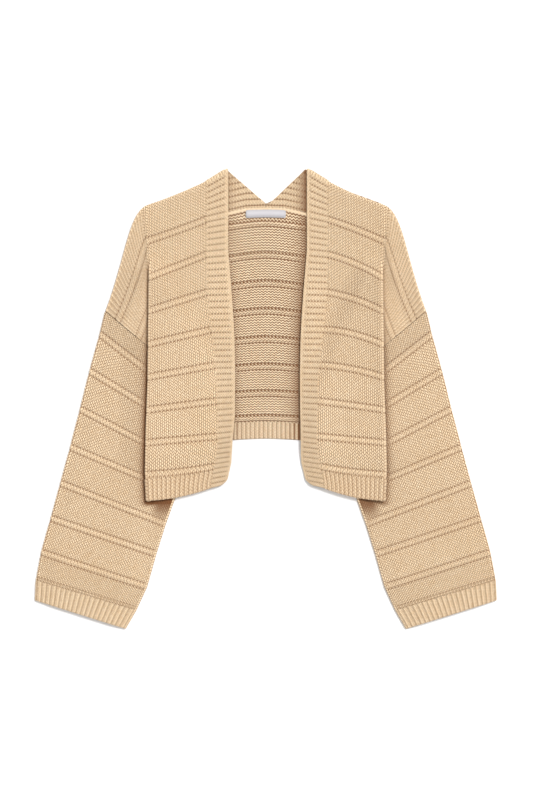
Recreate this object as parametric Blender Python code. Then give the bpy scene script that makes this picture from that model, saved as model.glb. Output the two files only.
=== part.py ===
"""Open-front cropped cardigan in a ridged knit, laid flat on a table.

The garment lies on the XY plane: +Y towards the neck, +Z up, the origin in the middle of the garment.
Working lengths are millimetres. A place on either half is given by "out", its distance from the centre
line, and "up", its Y. Both body panels are tucked in at the sides by one fold: a crease that runs down
from an apex below the shoulder, and a second, slanting one from that apex to the underarm.
"""

import math

import bmesh
import bpy
import numpy as np

MM = 0.001

# Cloth
WALL = 2.6
PRESSED_WALL = 1.5
LAYER_GAP = 1.0
SEAM_GAP = 0.3
RIDGE_RISE = 0.9
RIDGE_HALF = 4.6
RIB_RISE = 0.8
RIB_PITCH = 7.5
GARTER_PITCH = 9.4
GARTER_RISE = 0.8

# The side fold
APEX_OUT = 175.3
APEX_UP = 215.3
UNDERARM_OUT = 88.2
UNDERARM_UP = 5.3
ARMHOLE_OUT = 240.9
ARMHOLE_UP = 130.5
FOLD_RADIUS = 2.0
FOLD_START = 6.0
FOLD_FULL = 38.0
FOLD_PUFF = 3.0
RAMP_OUT = 46.0
RAMP_IN = 40.0
PRESSED_FROM = 168.0
PRESSED_TO = 115.0
PRESSED_BELOW = -150.0
MID_MIN = 1.2
MID_RISE = 2.2
SLEEVE_AIR = 3.0
SLANT_ANGLE = math.radians(25.0)
SECOND_LEAN = math.radians(22.5)
LEAST_TURN = 0.001
LEAST_ARC = 1.1

# Neck, opening and hems
PEAK_OUT = 58.9
SIDE_SHIFT = 2.5
BACK_HEM_UP = -58.5
BACK_HEM_DROP = 12.5
BACK_HEM_RAMP = 48.0
FRONT_RIB_TOP = -107.6
FRONT_HEM = -134.3
FRONT_HEM_FROM = 84.0
BACK_RIB_SPAN = 60.0
CUFF_SPAN = 125.0
BACK_RIB_TOP = -33.5
EDGE_LIFT = 3.2
EDGE_STEP = 0.6
EDGE_GAP = 0.8
TUCK_AIR = 0.7
BACK_LEAN = math.radians(23.0)
LABEL_SIZE = (60.0, 11.8, 0.8)
LABEL_UP = 277.2
NECK_OUTER = 83.5
NECK_SEAM = 1.0
NECK_DIP_UP = 290.3
NECK_PEAK_UP = 342.6

ROW_NAMES = ("row", "fold_up", "bow", "seam", "start_handle", "end_handle", "end_angle")
FRONT_ROWS = (
    (323.1, 289.0, 2.0, 3.0, 29.0, 86.0, 69.0),
    (268.5, 238.0, 1.0, 24.0, 4.0, 72.0, 65.0),
    (245.8, 215.3, 0.5, 36.0, 6.0, 50.0, 65.0),
    (216.0, 181.7, 0.0, 64.5, 14.0, 14.0, 65.0),
    (159.2, 131.7, 0.0, 99.0, 20.0, 20.0, 61.0),
    (103.2, 81.5, 0.0, 142.5, 10.0, 10.0, 58.0),
    (49.7, 32.3, 0.0, 187.0, 2.0, 2.0, 55.0),
    (36.8, 21.0, 0.0, 197.7, 0.6, 0.6, 55.0),
    (-3.8, -16.8, 0.0, 197.7, 0.6, 0.6, 55.0),
    (-56.7, -65.9, 0.0, 197.7, 0.6, 0.6, 55.0),
    (-103.0, -114.9, 2.0, 197.7, 0.6, 0.6, 55.0),
    (-134.3, -153.0, 4.0, 197.7, 0.6, 0.6, 55.0),
)
FRONT_RIDGES = (268.5, 216.0, 159.2, 103.2, 49.7, -3.8, -56.7, -101.5)

BACK_ROWS = (
    (286.8, 289.0, 0.0, 3.0, 28.0, 86.0, 69.0),
    (266.3, 238.0, 0.0, 24.0, 4.0, 72.0, 65.0),
    (243.0, 215.3, 0.0, 36.0, 6.0, 50.0, 65.0),
    (219.0, 188.0, 0.0, 60.0, 14.0, 14.0, 65.0),
    (176.3, 147.0, 0.0, 89.0, 20.0, 20.0, 62.0),
    (134.3, 108.0, 0.0, 120.0, 14.0, 14.0, 60.0),
    (91.5, 69.0, 0.0, 153.0, 8.0, 8.0, 57.0),
    (50.3, 31.0, 0.0, 188.0, 2.0, 2.0, 55.0),
    (39.0, 21.0, 0.0, 197.7, 0.6, 0.6, 55.0),
    (9.8, -6.0, 0.0, 197.7, 0.6, 0.6, 55.0),
    (-32.3, -45.0, 0.0, 197.7, 0.6, 0.6, 55.0),
    (-58.5, -71.0, 0.0, 197.7, 0.6, 0.6, 55.0),
)
BACK_RIDGES = (266.3, 219.0, 176.3, 134.3, 91.5, 50.3, 9.8, -27.5)

# The levels of a panel, of its tucked layer and of its armhole part, counted up from the table
FRONT_LEVELS = (6, 5, 4)
BACK_LEVELS = (1, 2, 3)
UNDERARM_ROW = {FRONT_LEVELS: 36.8, BACK_LEVELS: 39.0}

# How the back's top edge leaves the straight line from the centre to the side fold
BACK_TOP_NAMES = ("out", "up")
BACK_TOP = (
    (0.0, 286.8),
    (30.0, 285.6),
    (55.0, 280.0),
    (84.0, 315.0),
    (90.7, 323.1),
    (120.0, 309.0),
    (175.3, 289.0),
)

OPENING_NAMES = ("up", "edge_out", "boundary_out", "band_rise")
OPENING = (
    (345.8, 58.9, 90.7, 19.5),
    (323.1, 58.9, 90.7, 19.5),
    (268.5, 58.9, 90.7, 7.0),
    (218.0, 58.9, 90.7, 6.0),
    (163.0, 54.0, 90.4, 4.5),
    (118.0, 50.9, 85.5, 4.0),
    (88.0, 49.4, 82.1, 3.5),
    (35.0, 48.5, 77.2, 3.0),
    (-28.0, 49.0, 74.9, 3.0),
    (-64.0, 52.2, 74.9, 3.0),
    (-100.0, 54.2, 79.2, 3.5),
    (-124.0, 59.3, 84.0, 5.0),
    (-134.3, 61.5, 84.5, 6.0),
)

FOLD_NAMES = ("up", "fold_out")
FOLD = (
    (300.0, 175.3),
    (215.0, 175.3),
    (115.0, 176.5),
    (26.0, 177.4),
    (-46.0, 180.0),
    (-110.0, 181.5),
    (-155.0, 179.3),
)

EDGE_NAMES = ("up", "outer_out", "inner_out")
EDGES = (
    (345.0, 120.0, 0.0),
    (289.0, 176.3, 0.0),
    (282.8, 187.5, 0.0),
    (273.8, 195.3, 0.0),
    (255.8, 203.7, 0.0),
    (219.8, 212.3, 0.0),
    (171.8, 225.8, 0.0),
    (117.8, 244.7, 0.0),
    (9.8, 272.4, 0.0),
    (-98.3, 301.1, 60.0),
    (-152.3, 314.0, 140.4),
    (-206.3, 330.2, 154.9),
    (-260.3, 343.8, 170.4),
    (-302.3, 346.2, 187.0),
    (-345.4, 347.0, 209.5),
)

SLEEVE_NAMES = ("along", "outer_out", "outer_up", "inner_out", "inner_up")
SLEEVE = (
    (0.0, 240.9, 130.5, 91.7, 8.2),
    (1.0, 249.0, 96.8, 98.7, -18.8),
    (2.0, 264.4, 41.3, 107.7, -53.3),
    (3.0, 278.6, -15.8, 119.7, -98.3),
    (4.0, 293.4, -72.8, 132.0, -140.3),
    (5.0, 308.1, -126.8, 149.4, -188.3),
    (6.0, 322.5, -179.3, 163.6, -233.3),
    (7.0, 336.8, -230.3, 177.5, -282.8),
    (8.0, 344.7, -272.3, 193.5, -317.5),
    (9.0, 346.2, -302.3, 209.5, -345.4),
)
SLEEVE_CUFF = 8.0
SLEEVE_END = 9.0
SLEEVE_RIDGE_HALF = 0.1
SLEEVE_START = 0.012


def smooth(value):
    value = np.clip(value, 0.0, 1.0)
    return value * value * (3.0 - 2.0 * value)


def ramp(value, start, end):
    return smooth((value - start) / (end - start))


def column(table, names, key, name, value):
    """The named column of a table, read at a value of its key column."""
    rows = sorted(table, key=lambda entry: entry[names.index(key)])
    places = [entry[names.index(key)] for entry in rows]
    return np.interp(value, places, [entry[names.index(name)] for entry in rows])


def fold_out(up):
    return column(FOLD, FOLD_NAMES, "up", "fold_out", up)


def turn_at(up):
    """How far the fold has turned the cloth at this height, from 0 above the apex to a half turn."""
    return math.pi * smooth((APEX_UP + FOLD_START - up) / (FOLD_START + FOLD_FULL))


def fold_share(up):
    return (1.0 - np.cos(turn_at(up))) / 2.0


def back_cover(out, up):
    """1 over the back panel, falling to 0 past its hem."""
    hem = BACK_HEM_UP - BACK_HEM_DROP * (out / APEX_OUT) ** 2 - 3.0
    return 1.0 - ramp(hem - up, 0.0, BACK_HEM_RAMP)


def stack_inner(up):
    """Where the tucked layers end towards the centre."""
    slant = (APEX_OUT - UNDERARM_OUT) / (APEX_UP - UNDERARM_UP)
    return np.clip(APEX_OUT - slant * (APEX_UP - up), UNDERARM_OUT, APEX_OUT) - 3.0


def hidden_wall(out, up):
    """The cloth's thickness in a tucked layer, pressed thin further in."""
    thin = ramp(PRESSED_FROM - out, 0.0, PRESSED_FROM - PRESSED_TO) * fold_share(up)
    thin = thin * ramp(up, PRESSED_BELOW - 25.0, PRESSED_BELOW)
    return WALL + (PRESSED_WALL - WALL) * thin


def sleeve_air(out, up):
    """The air between the two layers of the sleeve and of the armhole, none at the folds."""
    outer = column(EDGES, EDGE_NAMES, "up", "outer_out", up) - out
    inner = out - column(EDGES, EDGE_NAMES, "up", "inner_out", up)
    clear = ramp(outer, 3.0, 34.0) * ramp(inner, 3.0, 34.0)
    return SLEEVE_AIR * clear * ramp(out, fold_out(up) - 12.0, fold_out(up) + 22.0)


def height(level, out, up):
    """The middle of the cloth at one of six levels, counted from the table: 1 is the back, 6 the front."""
    share = fold_share(up)
    cover = back_cover(out, up)
    wall = hidden_wall(out, up)
    step = wall + LAYER_GAP
    tucked = 1.0 - ramp(out, fold_out(up) + 2.0, fold_out(up) + RAMP_OUT)
    if level == 1:
        return np.full_like(out, WALL / 2)
    third = wall / 2 + cover * share * tucked * (WALL + LAYER_GAP + step)
    if level == 2:
        second = WALL + LAYER_GAP + wall / 2
        return WALL / 2 + (second - WALL / 2) * share
    if level == 3:
        return third
    fourth = third + step + sleeve_air(out, up)
    if level == 4:
        return fourth
    fifth = fourth + share * (step + TUCK_AIR)
    if level == 5:
        return fifth
    inner = ramp(out, stack_inner(up) - RAMP_IN, stack_inner(up))
    lift = EDGE_LIFT * ramp(95.0 - out, 0.0, 35.0) * (0.4 + 0.6 * ramp(250.0 - up, 0.0, 150.0))
    low = WALL / 2 + cover * (WALL + LAYER_GAP + lift)
    puff = FOLD_PUFF * np.exp(-(((out - fold_out(up)) / 12.0) ** 2))
    high = fourth + step + TUCK_AIR + wall / 2 + LAYER_GAP + WALL / 2 + puff
    return low + (high - low) * inner * share


def turned(direction, angle):
    """A direction (out, up) turned down by an angle."""
    out, up = direction
    return out * np.cos(angle) + up * np.sin(angle), up * np.cos(angle) - out * np.sin(angle)


def body_place(station, row, table, start_out, start_up, levels):
    """A point in the middle of a body panel's cloth.

    station 0 to 1 is the panel itself, 1 to 2 the first crease, 2 to 3 the layer tucked under, 3 to 4 the
    second crease and 4 to 5 the part that lies towards the armhole. Below the underarm the cloth ends at 3,
    and 3 to 4 turns its edge towards the other panel.
    """
    station = np.asarray(station, float)
    row = np.asarray(row, float)
    end_up = column(table, ROW_NAMES, "row", "fold_up", row)
    bow = column(table, ROW_NAMES, "row", "bow", row)
    crease_out = fold_out(end_up) - FOLD_RADIUS
    slope = np.arctan2(start_up - end_up, crease_out - start_out)
    part = np.clip(station, 0.0, 1.0)
    out = start_out + (crease_out - start_out) * part
    up = start_up + (end_up - start_up) * part - bow * 4.0 * part * (1.0 - part)

    if levels == BACK_LEVELS:
        slope = slope + BACK_LEAN * ramp(row, BACK_ROWS[1][0], BACK_ROWS[0][0])
    turn = np.maximum(turn_at(end_up), LEAST_TURN)
    share = turn / math.pi
    arc = FOLD_RADIUS * np.maximum(turn, LEAST_ARC)
    bend = turn / arc
    part = np.clip(station - 1.0, 0.0, 1.0)
    out = out + np.cos(slope) * np.sin(turn * part) / bend
    up = up - np.sin(slope) * arc * part
    first_part = part

    underarm_up = column(table, ROW_NAMES, "row", "fold_up", UNDERARM_ROW[levels])
    below = end_up <= underarm_up
    slant_length = (APEX_UP - end_up) * math.tan(SLANT_ANGLE) - 2.0 * FOLD_RADIUS
    straight = (crease_out - UNDERARM_OUT - 2.0) / np.cos(slope)
    middle = np.clip(np.where(below, straight, np.minimum(slant_length, straight)), MID_MIN, None)
    part = np.clip(station - 2.0, 0.0, 1.0)
    middle_part = part
    out = out + np.cos(slope) * np.cos(turn) * middle * part
    rising = ramp(underarm_up - end_up, 0.0, 120.0)
    up = up - np.sin(slope) * middle * part * (1.0 - MID_RISE * rising)

    second_part = np.clip(station - 3.0, 0.0, 1.0)
    lean = SECOND_LEAN * share
    slope_2 = slope + lean
    across = (np.sin(turn) - np.sin(turn * (1.0 - second_part))) / bend
    along = arc * second_part
    step_out, step_up = turned((np.cos(slope_2) * across, -np.sin(slope_2) * along), lean)
    edge_radius = (height(5, out, up) - height(2, out, up)) / 2 - EDGE_GAP / 2
    edge_turn = second_part * math.pi / 2 * back_cover(out, up)
    edge_run = edge_radius * np.sin(edge_turn) + MID_MIN * second_part
    out = out + np.where(below, -edge_run, step_out)
    up = up + np.where(below, 0.0, step_up)

    part = np.clip(station - 4.0, 0.0, 1.0)
    heading = slope_2 + lean
    seam = column(table, ROW_NAMES, "row", "seam", row)
    length = math.hypot(ARMHOLE_OUT - UNDERARM_OUT, ARMHOLE_UP - UNDERARM_UP)
    seam_out = ARMHOLE_OUT + (UNDERARM_OUT - ARMHOLE_OUT) * seam / length
    seam_up = ARMHOLE_UP + (UNDERARM_UP - ARMHOLE_UP) * seam / length
    first = column(table, ROW_NAMES, "row", "start_handle", row)
    last = column(table, ROW_NAMES, "row", "end_handle", row)
    end_angle = np.radians(column(table, ROW_NAMES, "row", "end_angle", row))
    points = (
        (out, up),
        (out + first * np.cos(heading), up - first * np.sin(heading)),
        (seam_out - last * np.cos(end_angle), seam_up + last * np.sin(end_angle)),
        (seam_out, seam_up),
    )
    weights = ((1 - part) ** 3, 3 * part * (1 - part) ** 2, 3 * part**2 * (1 - part), part**3)
    arm_out = sum(weight * point[0] for weight, point in zip(weights, points))
    arm_up = sum(weight * point[1] for weight, point in zip(weights, points))
    out = np.where(station > 4.0, arm_out, out)
    up = np.where(station > 4.0, arm_up, up)

    z_top, z_middle, z_far = (height(level, out, up) for level in levels)
    arc_drop = (1.0 - np.cos(turn)) / bend
    share_1 = arc_drop / (2.0 * arc_drop + middle * np.sin(turn) + 1e-6)
    share_2 = 1.0 - share_1
    whole_drop = np.where(np.abs(z_top - z_far) > 0.01, z_top - z_far, 0.01)
    level_share = np.clip((z_top - z_middle) / whole_drop, 0.0, 1.0)
    flat = ramp(turn, 2.0, math.pi)
    share_1 = share_1 + (level_share - share_1) * flat
    share_2 = share_2 + (level_share - share_2) * flat
    whole = np.maximum(1.0 - np.cos(turn), 1e-6)
    rest = 1.0 - second_part
    into = np.where(turn > 0.05, (1.0 - np.cos(turn * first_part)) / whole, first_part**2)
    out_of = np.where(turn > 0.05, (1.0 - np.cos(turn * rest)) / whole, rest**2)
    drop = np.where(station <= 2.0, share_1 * into, share_1 + (share_2 - share_1) * middle_part)
    drop = np.where(station > 3.0, 1.0 - (1.0 - share_2) * out_of, drop)
    z = z_top - (z_top - z_far) * drop
    edge = z_middle + np.sign(z_middle - z_top) * edge_radius * (1 - np.cos(edge_turn))
    z = np.where(below & (station > 3.0), edge, z)
    return out, up, z


def front_place(station, row):
    start_out = column(OPENING, OPENING_NAMES, "up", "boundary_out", row) + SEAM_GAP / 2
    return body_place(station, row, FRONT_ROWS, start_out, row, FRONT_LEVELS)


def back_place(station, row):
    station = np.asarray(station, float)
    row = np.asarray(row, float)
    out, up, z = body_place(station, row, BACK_ROWS, np.zeros_like(row), row, BACK_LEVELS)
    share = ramp(row, BACK_ROWS[1][0], BACK_ROWS[0][0])
    reach = np.clip(out, 0.0, APEX_OUT)
    straight = BACK_ROWS[0][0] + (BACK_ROWS[0][1] - BACK_ROWS[0][0]) * reach / APEX_OUT
    lift = column(BACK_TOP, BACK_TOP_NAMES, "out", "up", reach) - straight
    return out, up + np.where(station <= 1.0, lift * share, 0.0), z


def rolled(place, station, row, roll, downwards):
    """A place on a panel, with the cloth past its shoulder line turned towards the other panel."""
    out, up, z = place(station, row)
    ahead = place(station + 0.02, row)
    behind = place(station - 0.02, row)
    run_out, run_up = ahead[0] - behind[0], ahead[1] - behind[1]
    run = np.hypot(run_out, run_up) + 1e-9
    radius = (height(4, out, up) - height(3, out, up)) / 2 - EDGE_GAP / 2
    angle = roll * math.pi / 2
    out = out - run_up / run * radius * np.sin(angle)
    up = up + run_out / run * radius * np.sin(angle)
    return out, up, z + (-1 if downwards else 1) * radius * (1 - np.cos(angle))


def ridges(row, places, half):
    """1 on the crest of each ridge row, falling to 0 at its foot."""
    return sum(np.clip(1.0 - np.abs(row - place) / half, 0.0, 1.0) for place in places)


def cloth(name, stations, rows, place, wall, rise, material, keep=None):
    """A wall of cloth over a grid of stations and rows.

    place gives the middle of the cloth, wall its thickness, and rise how far its outer face is raised.
    The wall starts as a flat slab of the same grid, whose vertices are then put in place. Its outer face is
    the one that faces up at the first station.
    """
    mesh = bpy.data.meshes.new(name)
    sheet = bmesh.new()
    across, down = len(stations) - 1, len(rows) - 1
    bmesh.ops.create_grid(sheet, x_segments=across, y_segments=down, size=0.5)
    index = {}
    for vertex in sheet.verts:
        index[vertex] = (round((vertex.co.x + 0.5) * across), round((vertex.co.y + 0.5) * down))
    if keep:
        gone = [face for face in sheet.faces if not keep(*np.mean([index[v] for v in face.verts], axis=0))]
        bmesh.ops.delete(sheet, geom=gone, context="FACES")
    lower = list(sheet.verts)
    grown = bmesh.ops.extrude_face_region(sheet, geom=list(sheet.faces), use_keep_orig=True)
    upper = [item for item in grown["geom"] if isinstance(item, bmesh.types.BMVert)]
    spots = {(round(v.co.x, 5), round(v.co.y, 5)): index[v] for v in lower}
    for side, vertices in ((0, lower), (1, upper)):
        cells = [spots[(round(v.co.x, 5), round(v.co.y, 5))] for v in vertices]
        station = np.array([stations[i] for i, _ in cells], float)
        row = np.array([rows[j] for _, j in cells], float)
        middle = np.stack(place(station, row), 1)
        step = 0.004
        along = np.stack(place(station + step, row), 1) - np.stack(place(station - step, row), 1)
        reach = 0.05 * (rows[-1] - rows[0]) / abs(rows[-1] - rows[0])
        over = np.stack(place(station, row + reach), 1) - np.stack(place(station, row - reach), 1)
        normal = np.cross(along, over)
        normal /= np.linalg.norm(normal, axis=1)[:, None] + 1e-12
        half = np.asarray(wall(station, row, middle[:, 0], middle[:, 1])) / 2
        lift = half + (rise(station, row, middle) if side else 0.0)
        facing = np.sign(np.sum(normal[station < stations[0] + 0.3, 2]))
        shift = (facing if side else -facing) * lift
        points = middle + normal * shift[:, None]
        points[:, 2] = np.maximum(points[:, 2], 0.0)
        for vertex, point in zip(vertices, points):
            vertex.co = point * MM
    bmesh.ops.recalc_face_normals(sheet, faces=list(sheet.faces))
    if sheet.calc_volume(signed=True) < 0:
        bmesh.ops.reverse_faces(sheet, faces=list(sheet.faces))
    sheet.to_mesh(mesh)
    sheet.free()
    mesh.shade_smooth()
    mesh.set_sharp_from_angle(angle=math.radians(50))
    item = bpy.data.objects.new(name, mesh)
    item.data.materials.append(material)
    garment.objects.link(item)
    return item


def finish(name, colour, roughness):
    made = bpy.data.materials.new(name)
    made.use_nodes = True
    shader = made.node_tree.nodes["Principled BSDF"]
    shader.inputs["Base Color"].default_value = (*colour, 1.0)
    shader.inputs["Roughness"].default_value = roughness
    shader.inputs["Metallic"].default_value = 0.0
    return made


def mirrored(place, side, shifted=True):
    """The same place on the left (-1) or right (1) half, as X, Y, Z, with the opening moved to the right."""

    def placed(station, row):
        out, up, z = place(station, row)
        shift = SIDE_SHIFT * side * (1.0 - ramp(out, 60.0, 150.0)) * (station < 1.1) * shifted
        return side * (out + shift), up, z

    return placed


def row_lines(start, end, places, half, longest):
    """Grid rows from start to end, with three at each ridge and none further apart than longest."""
    low, high = min(start, end), max(start, end)
    marks = {start, end}
    for place in places:
        marks |= {mark for mark in (place - half, place, place + half) if low < mark < high}
    marks = sorted(marks)
    lines = []
    for first, last in zip(marks, marks[1:]):
        pieces = max(1, math.ceil((last - first) / longest))
        lines += [first + (last - first) * k / pieces for k in range(pieces)]
    lines.append(marks[-1])
    return lines if start < end else lines[::-1]


def layer_wall(station, row, out, up):
    """The wall's thickness on a body panel: full where it shows, pressed where it is tucked under."""
    tucked = ramp(np.abs(station), 1.5, 2.5)
    return WALL + (hidden_wall(np.abs(out), up) - WALL) * tucked


def sleeve_wall(station, row, out, up):
    return hidden_wall(np.abs(out), up)


def even_wall(station, row, out, up):
    return np.full_like(out, WALL)


MAIN = [0.0, 0.25, 0.5, 0.72, 0.88, 1.0]
CREASE = [1.33, 1.66, 2.0]
BACK_CREASE = [1.5, 2.0]
TUCKED = [2.25, 2.5, 2.75, 3.0]
SECOND = [3.5, 4.0]
ARM = [4.15, 4.3, 4.5, 4.75, 5.0]
HIDDEN_ROWS = (0.5, 1.5, 2.3, 2.6, 3.5)
APEX_ROWS = (240.0, 234.0, 228.0, 222.0)
ROLLED = [2.0, 1.0]


def with_roll(place, top, downwards, first_out=0.0):
    """Rows up to 2 mm past the top row turn the shoulder edge towards the other panel."""

    def placed(station, row):
        row = np.asarray(row, float)
        station = np.asarray(station, float)
        past = np.clip(row - top, 0.0, 2.0) / 2.0
        row = np.minimum(row, top)
        out = place(station, row)[0]
        roll = past * (ramp(out, BACK_TOP[3][0], first_out) if first_out else 1.0)
        out, up, z = rolled(place, station, row, roll, downwards)
        return out, up + EDGE_STEP * past, z

    return placed


def inside(station):
    """A station kept off the two ends, where the panel has no cloth beyond."""
    return np.clip(station, 0.0, 5.0)


def front_panel(station, row):
    return front_place(inside(station), row)


def ridge_rise(places, half, height_up, shown):
    def rise(station, row, middle):
        visible = shown(np.abs(station), np.abs(middle[:, 0]), middle[:, 1])
        return height_up * ridges(row, places, half) * visible

    return rise


def shown_in_front(station, out, up):
    on_arm = ramp(station, 4.3, 4.6) * ramp(out, APEX_OUT, APEX_OUT + 8.0)
    return 1.0 - ramp(station, 1.0, 1.5) * (1.0 - on_arm)


def shown_in_back(station, out, up):
    return 1.0 - ramp(out, 58.0, 66.0)


def make_front(side, material):
    name = "front_left" if side < 0 else "front_right"
    stations = MAIN + CREASE + TUCKED + SECOND + ARM
    top = FRONT_ROWS[0][0]
    underarm = UNDERARM_ROW[FRONT_LEVELS] + 3.0
    rows = row_lines(top, FRONT_RIB_TOP + SEAM_GAP, FRONT_RIDGES, RIDGE_HALF, 50.0)
    rows = [top + roll for roll in ROLLED] + rows + list(APEX_ROWS)
    rows = rows + [underarm, underarm - 12.0, underarm - 24.0]
    rows = sorted(set(rows), reverse=True)
    arm_from, last_row = stations.index(4.0), rows.index(underarm)
    place = with_roll(front_panel, top, True)
    rise = ridge_rise(FRONT_RIDGES, RIDGE_HALF, RIDGE_RISE, shown_in_front)

    def keep(i, j):
        return i < arm_from or j < last_row

    cloth(name, stations, rows, mirrored(place, side), layer_wall, rise, material, keep)


def both_sides(place):
    """A place by a signed station, negative on the left half."""

    def placed(station, row):
        station = np.asarray(station, float)
        out, up, z = place(np.abs(station), row)
        return np.where(station < 0, -out, out), up, z

    return placed


def back_panel(station, row):
    return back_place(inside(station), row)


def make_back(material):
    reach = APEX_OUT - FOLD_RADIUS
    half = [entry[0] / reach for entry in BACK_TOP[1:5]] + [0.8, 1.0]
    half = half + BACK_CREASE + TUCKED[1::2] + SECOND + ARM
    stations = [-station for station in reversed(half)] + [0.0] + half
    top = BACK_ROWS[0][0] - SEAM_GAP
    underarm = UNDERARM_ROW[BACK_LEVELS] + 3.0
    rows = row_lines(top, BACK_RIB_TOP + SEAM_GAP, BACK_RIDGES, RIDGE_HALF, 50.0)
    rows = [top + roll for roll in ROLLED] + rows + [240.0, 228.0, underarm, underarm - 9.0, underarm - 18.0]
    rows = sorted(set(rows), reverse=True)
    outer, last_row = half.index(4.0) + 1.0, rows.index(underarm)
    middle = (len(stations) - 1) / 2
    place = with_roll(back_panel, top, False, BACK_TOP[4][0])
    rise = ridge_rise(BACK_RIDGES, RIDGE_HALF, RIDGE_RISE, shown_in_back)

    def keep(i, j):
        return abs(i - middle) < outer + 1.0 or j < last_row

    cloth("back", stations, rows, both_sides(place), layer_wall, rise, material, keep)


def band_place(station, row):
    """From the opening edge (0) to the seam with the front panel (1)."""
    station = np.clip(station, 0.0, 1.0)
    edge = column(OPENING, OPENING_NAMES, "up", "edge_out", row)
    boundary = column(OPENING, OPENING_NAMES, "up", "boundary_out", row) - SEAM_GAP / 2
    out = edge + (boundary - edge) * station
    up = row + column(OPENING, OPENING_NAMES, "up", "band_rise", row) * (1.0 - station)
    return out, up, height(6, out, up)


def make_band(side, material):
    name = "band_left" if side < 0 else "band_right"
    top = FRONT_ROWS[0][0]
    count = round((top - FRONT_HEM) / GARTER_PITCH)
    pitch = (top - FRONT_HEM) / count
    crests = [FRONT_HEM + pitch * (k + 0.5) for k in range(count)]
    rows = [top + 2.0, top + 1.0] + [top - pitch * k / 2 for k in range(2 * count + 1)]
    place = with_roll(band_place, top, True)
    rise = ridge_rise(crests, pitch / 2, GARTER_RISE, lambda station, out, up: 1.0)
    cloth(name, [0.0, 1.0], rows, mirrored(place, side), even_wall, rise, material)


def neck_place(station, across):
    """From the centre of the back (0) to the shoulder (1), and from the neck seam (0) to the top edge (1)."""
    station = np.clip(station, 0.0, 1.0)
    across = np.asarray(across, float)
    out = SEAM_GAP / 2 + (NECK_OUTER - SEAM_GAP / 2) * station
    low = column(BACK_TOP, BACK_TOP_NAMES, "out", "up", out) + NECK_SEAM
    high = np.interp(out, [0.0, PEAK_OUT, 90.7], [NECK_DIP_UP, NECK_PEAK_UP, FRONT_ROWS[0][0]])
    return out, low + (high - low) * across, height(1, out, low)


def make_neck_band(side, material):
    name = "neck_band_left" if side < 0 else "neck_band_right"

    def place(station, row):
        past = np.clip(row - 1.0, 0.0, 1.0)
        row = np.minimum(row, 1.0)
        roll = past * ramp(neck_place(station, row)[0], PEAK_OUT - 4.0, PEAK_OUT + 4.0)
        out, up, z = rolled(neck_place, station, row, roll, False)
        return side * out, up + EDGE_STEP * past, z

    turns = [(entry[0] - SEAM_GAP / 2) / (NECK_OUTER - SEAM_GAP / 2) for entry in BACK_TOP[1:3]]
    stations = [0.0, turns[0], 0.5, turns[1], 0.72, 0.8, 0.9, 1.0]
    rows = [0.0, 0.33, 0.66, 1.0, 1.5, 2.0]
    cloth(name, stations, rows, place, even_wall, lambda station, row, middle: 0.0 * row, material)


def rib_stations(start, end, span, pitch):
    """Two stations to a rib over a stretch of cloth that is span long from station start to end."""
    count = 2 * round(span / pitch)
    return [start + (end - start) * k / count for k in range(count + 1)]


def rib_rise(start, end, span, pitch, shown):
    count = round(span / pitch)

    def rise(station, row, middle):
        part = (np.abs(station) - start) / (end - start) * count
        crest = 1.0 - np.abs((part % 1.0) - 0.5) * 2.0
        inside_ribs = (part >= -0.01) & (part <= count + 0.01)
        visible = shown(np.abs(station), np.abs(middle[:, 0]), middle[:, 1])
        return np.where(inside_ribs, RIB_RISE * crest, 0.0) * visible

    return rise


def make_front_hem(side, material):
    name = "hem_front_left" if side < 0 else "hem_front_right"
    span = APEX_OUT - FRONT_HEM_FROM
    stations = rib_stations(0.0, 1.0, span, RIB_PITCH) + CREASE + TUCKED + SECOND
    rows = [FRONT_RIB_TOP, OPENING[-2][0], FRONT_HEM]
    rise = rib_rise(0.0, 1.0, span, RIB_PITCH, lambda station, out, up: 1.0)
    cloth(name, stations, rows, mirrored(front_panel, side), layer_wall, rise, material)


def make_back_hem(material):
    span = BACK_RIB_SPAN
    end = span / (APEX_OUT - FOLD_RADIUS)
    ribs = rib_stations(0.0, end, span, RIB_PITCH)
    half = ribs[1:] + [0.65, 1.0] + BACK_CREASE + TUCKED[1::2] + SECOND
    stations = [-station for station in reversed(half)] + [0.0] + half
    rows = [BACK_RIB_TOP, (BACK_RIB_TOP + BACK_HEM_UP) / 2, BACK_HEM_UP]
    rise = rib_rise(0.0, end, span, RIB_PITCH, lambda station, out, up: 1.0)
    cloth("hem_back", stations, rows, both_sides(back_panel), layer_wall, rise, material)


def sleeve_place(station, along):
    """Round the flattened sleeve from its seam on the top layer, over the inner edge and back."""
    station = np.asarray(station, float)
    edges = [column(SLEEVE, SLEEVE_NAMES, "along", name, along) for name in SLEEVE_NAMES[1:]]
    outer_out, outer_up, inner_out, inner_up = edges
    width = np.hypot(inner_out - outer_out, inner_up - outer_up)
    aim_out, aim_up = (inner_out - outer_out) / width, (inner_up - outer_up) / width
    inset = FOLD_RADIUS + WALL / 2
    near, far = inset, width - inset
    parts = [np.clip(station - k, 0.0, 1.0) for k in range(4)]
    reach = far + FOLD_RADIUS * np.sin(math.pi * parts[0])
    reach = reach - (far - near) * parts[1]
    reach = reach - FOLD_RADIUS * np.sin(math.pi * parts[2])
    reach = reach + (far - near - SEAM_GAP) * parts[3]
    out, up = outer_out + aim_out * reach, outer_up + aim_up * reach
    over = (1.0 + np.cos(math.pi * (parts[0] - parts[2]))) / 2
    low, high = height(3, out, up), height(4, out, up)
    return out, up, low + (high - low) * over


TURN_IN = [0.0, 0.3, 0.6, 0.85]
ACROSS = [1.0, 1.17, 1.34, 1.5, 1.66, 1.83]
TURN_OUT = [2.0, 2.3, 2.6, 2.85]
BACK_ACROSS = [3.0, 3.17, 3.34, 3.5, 3.66, 3.83, 4.0]


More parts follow.
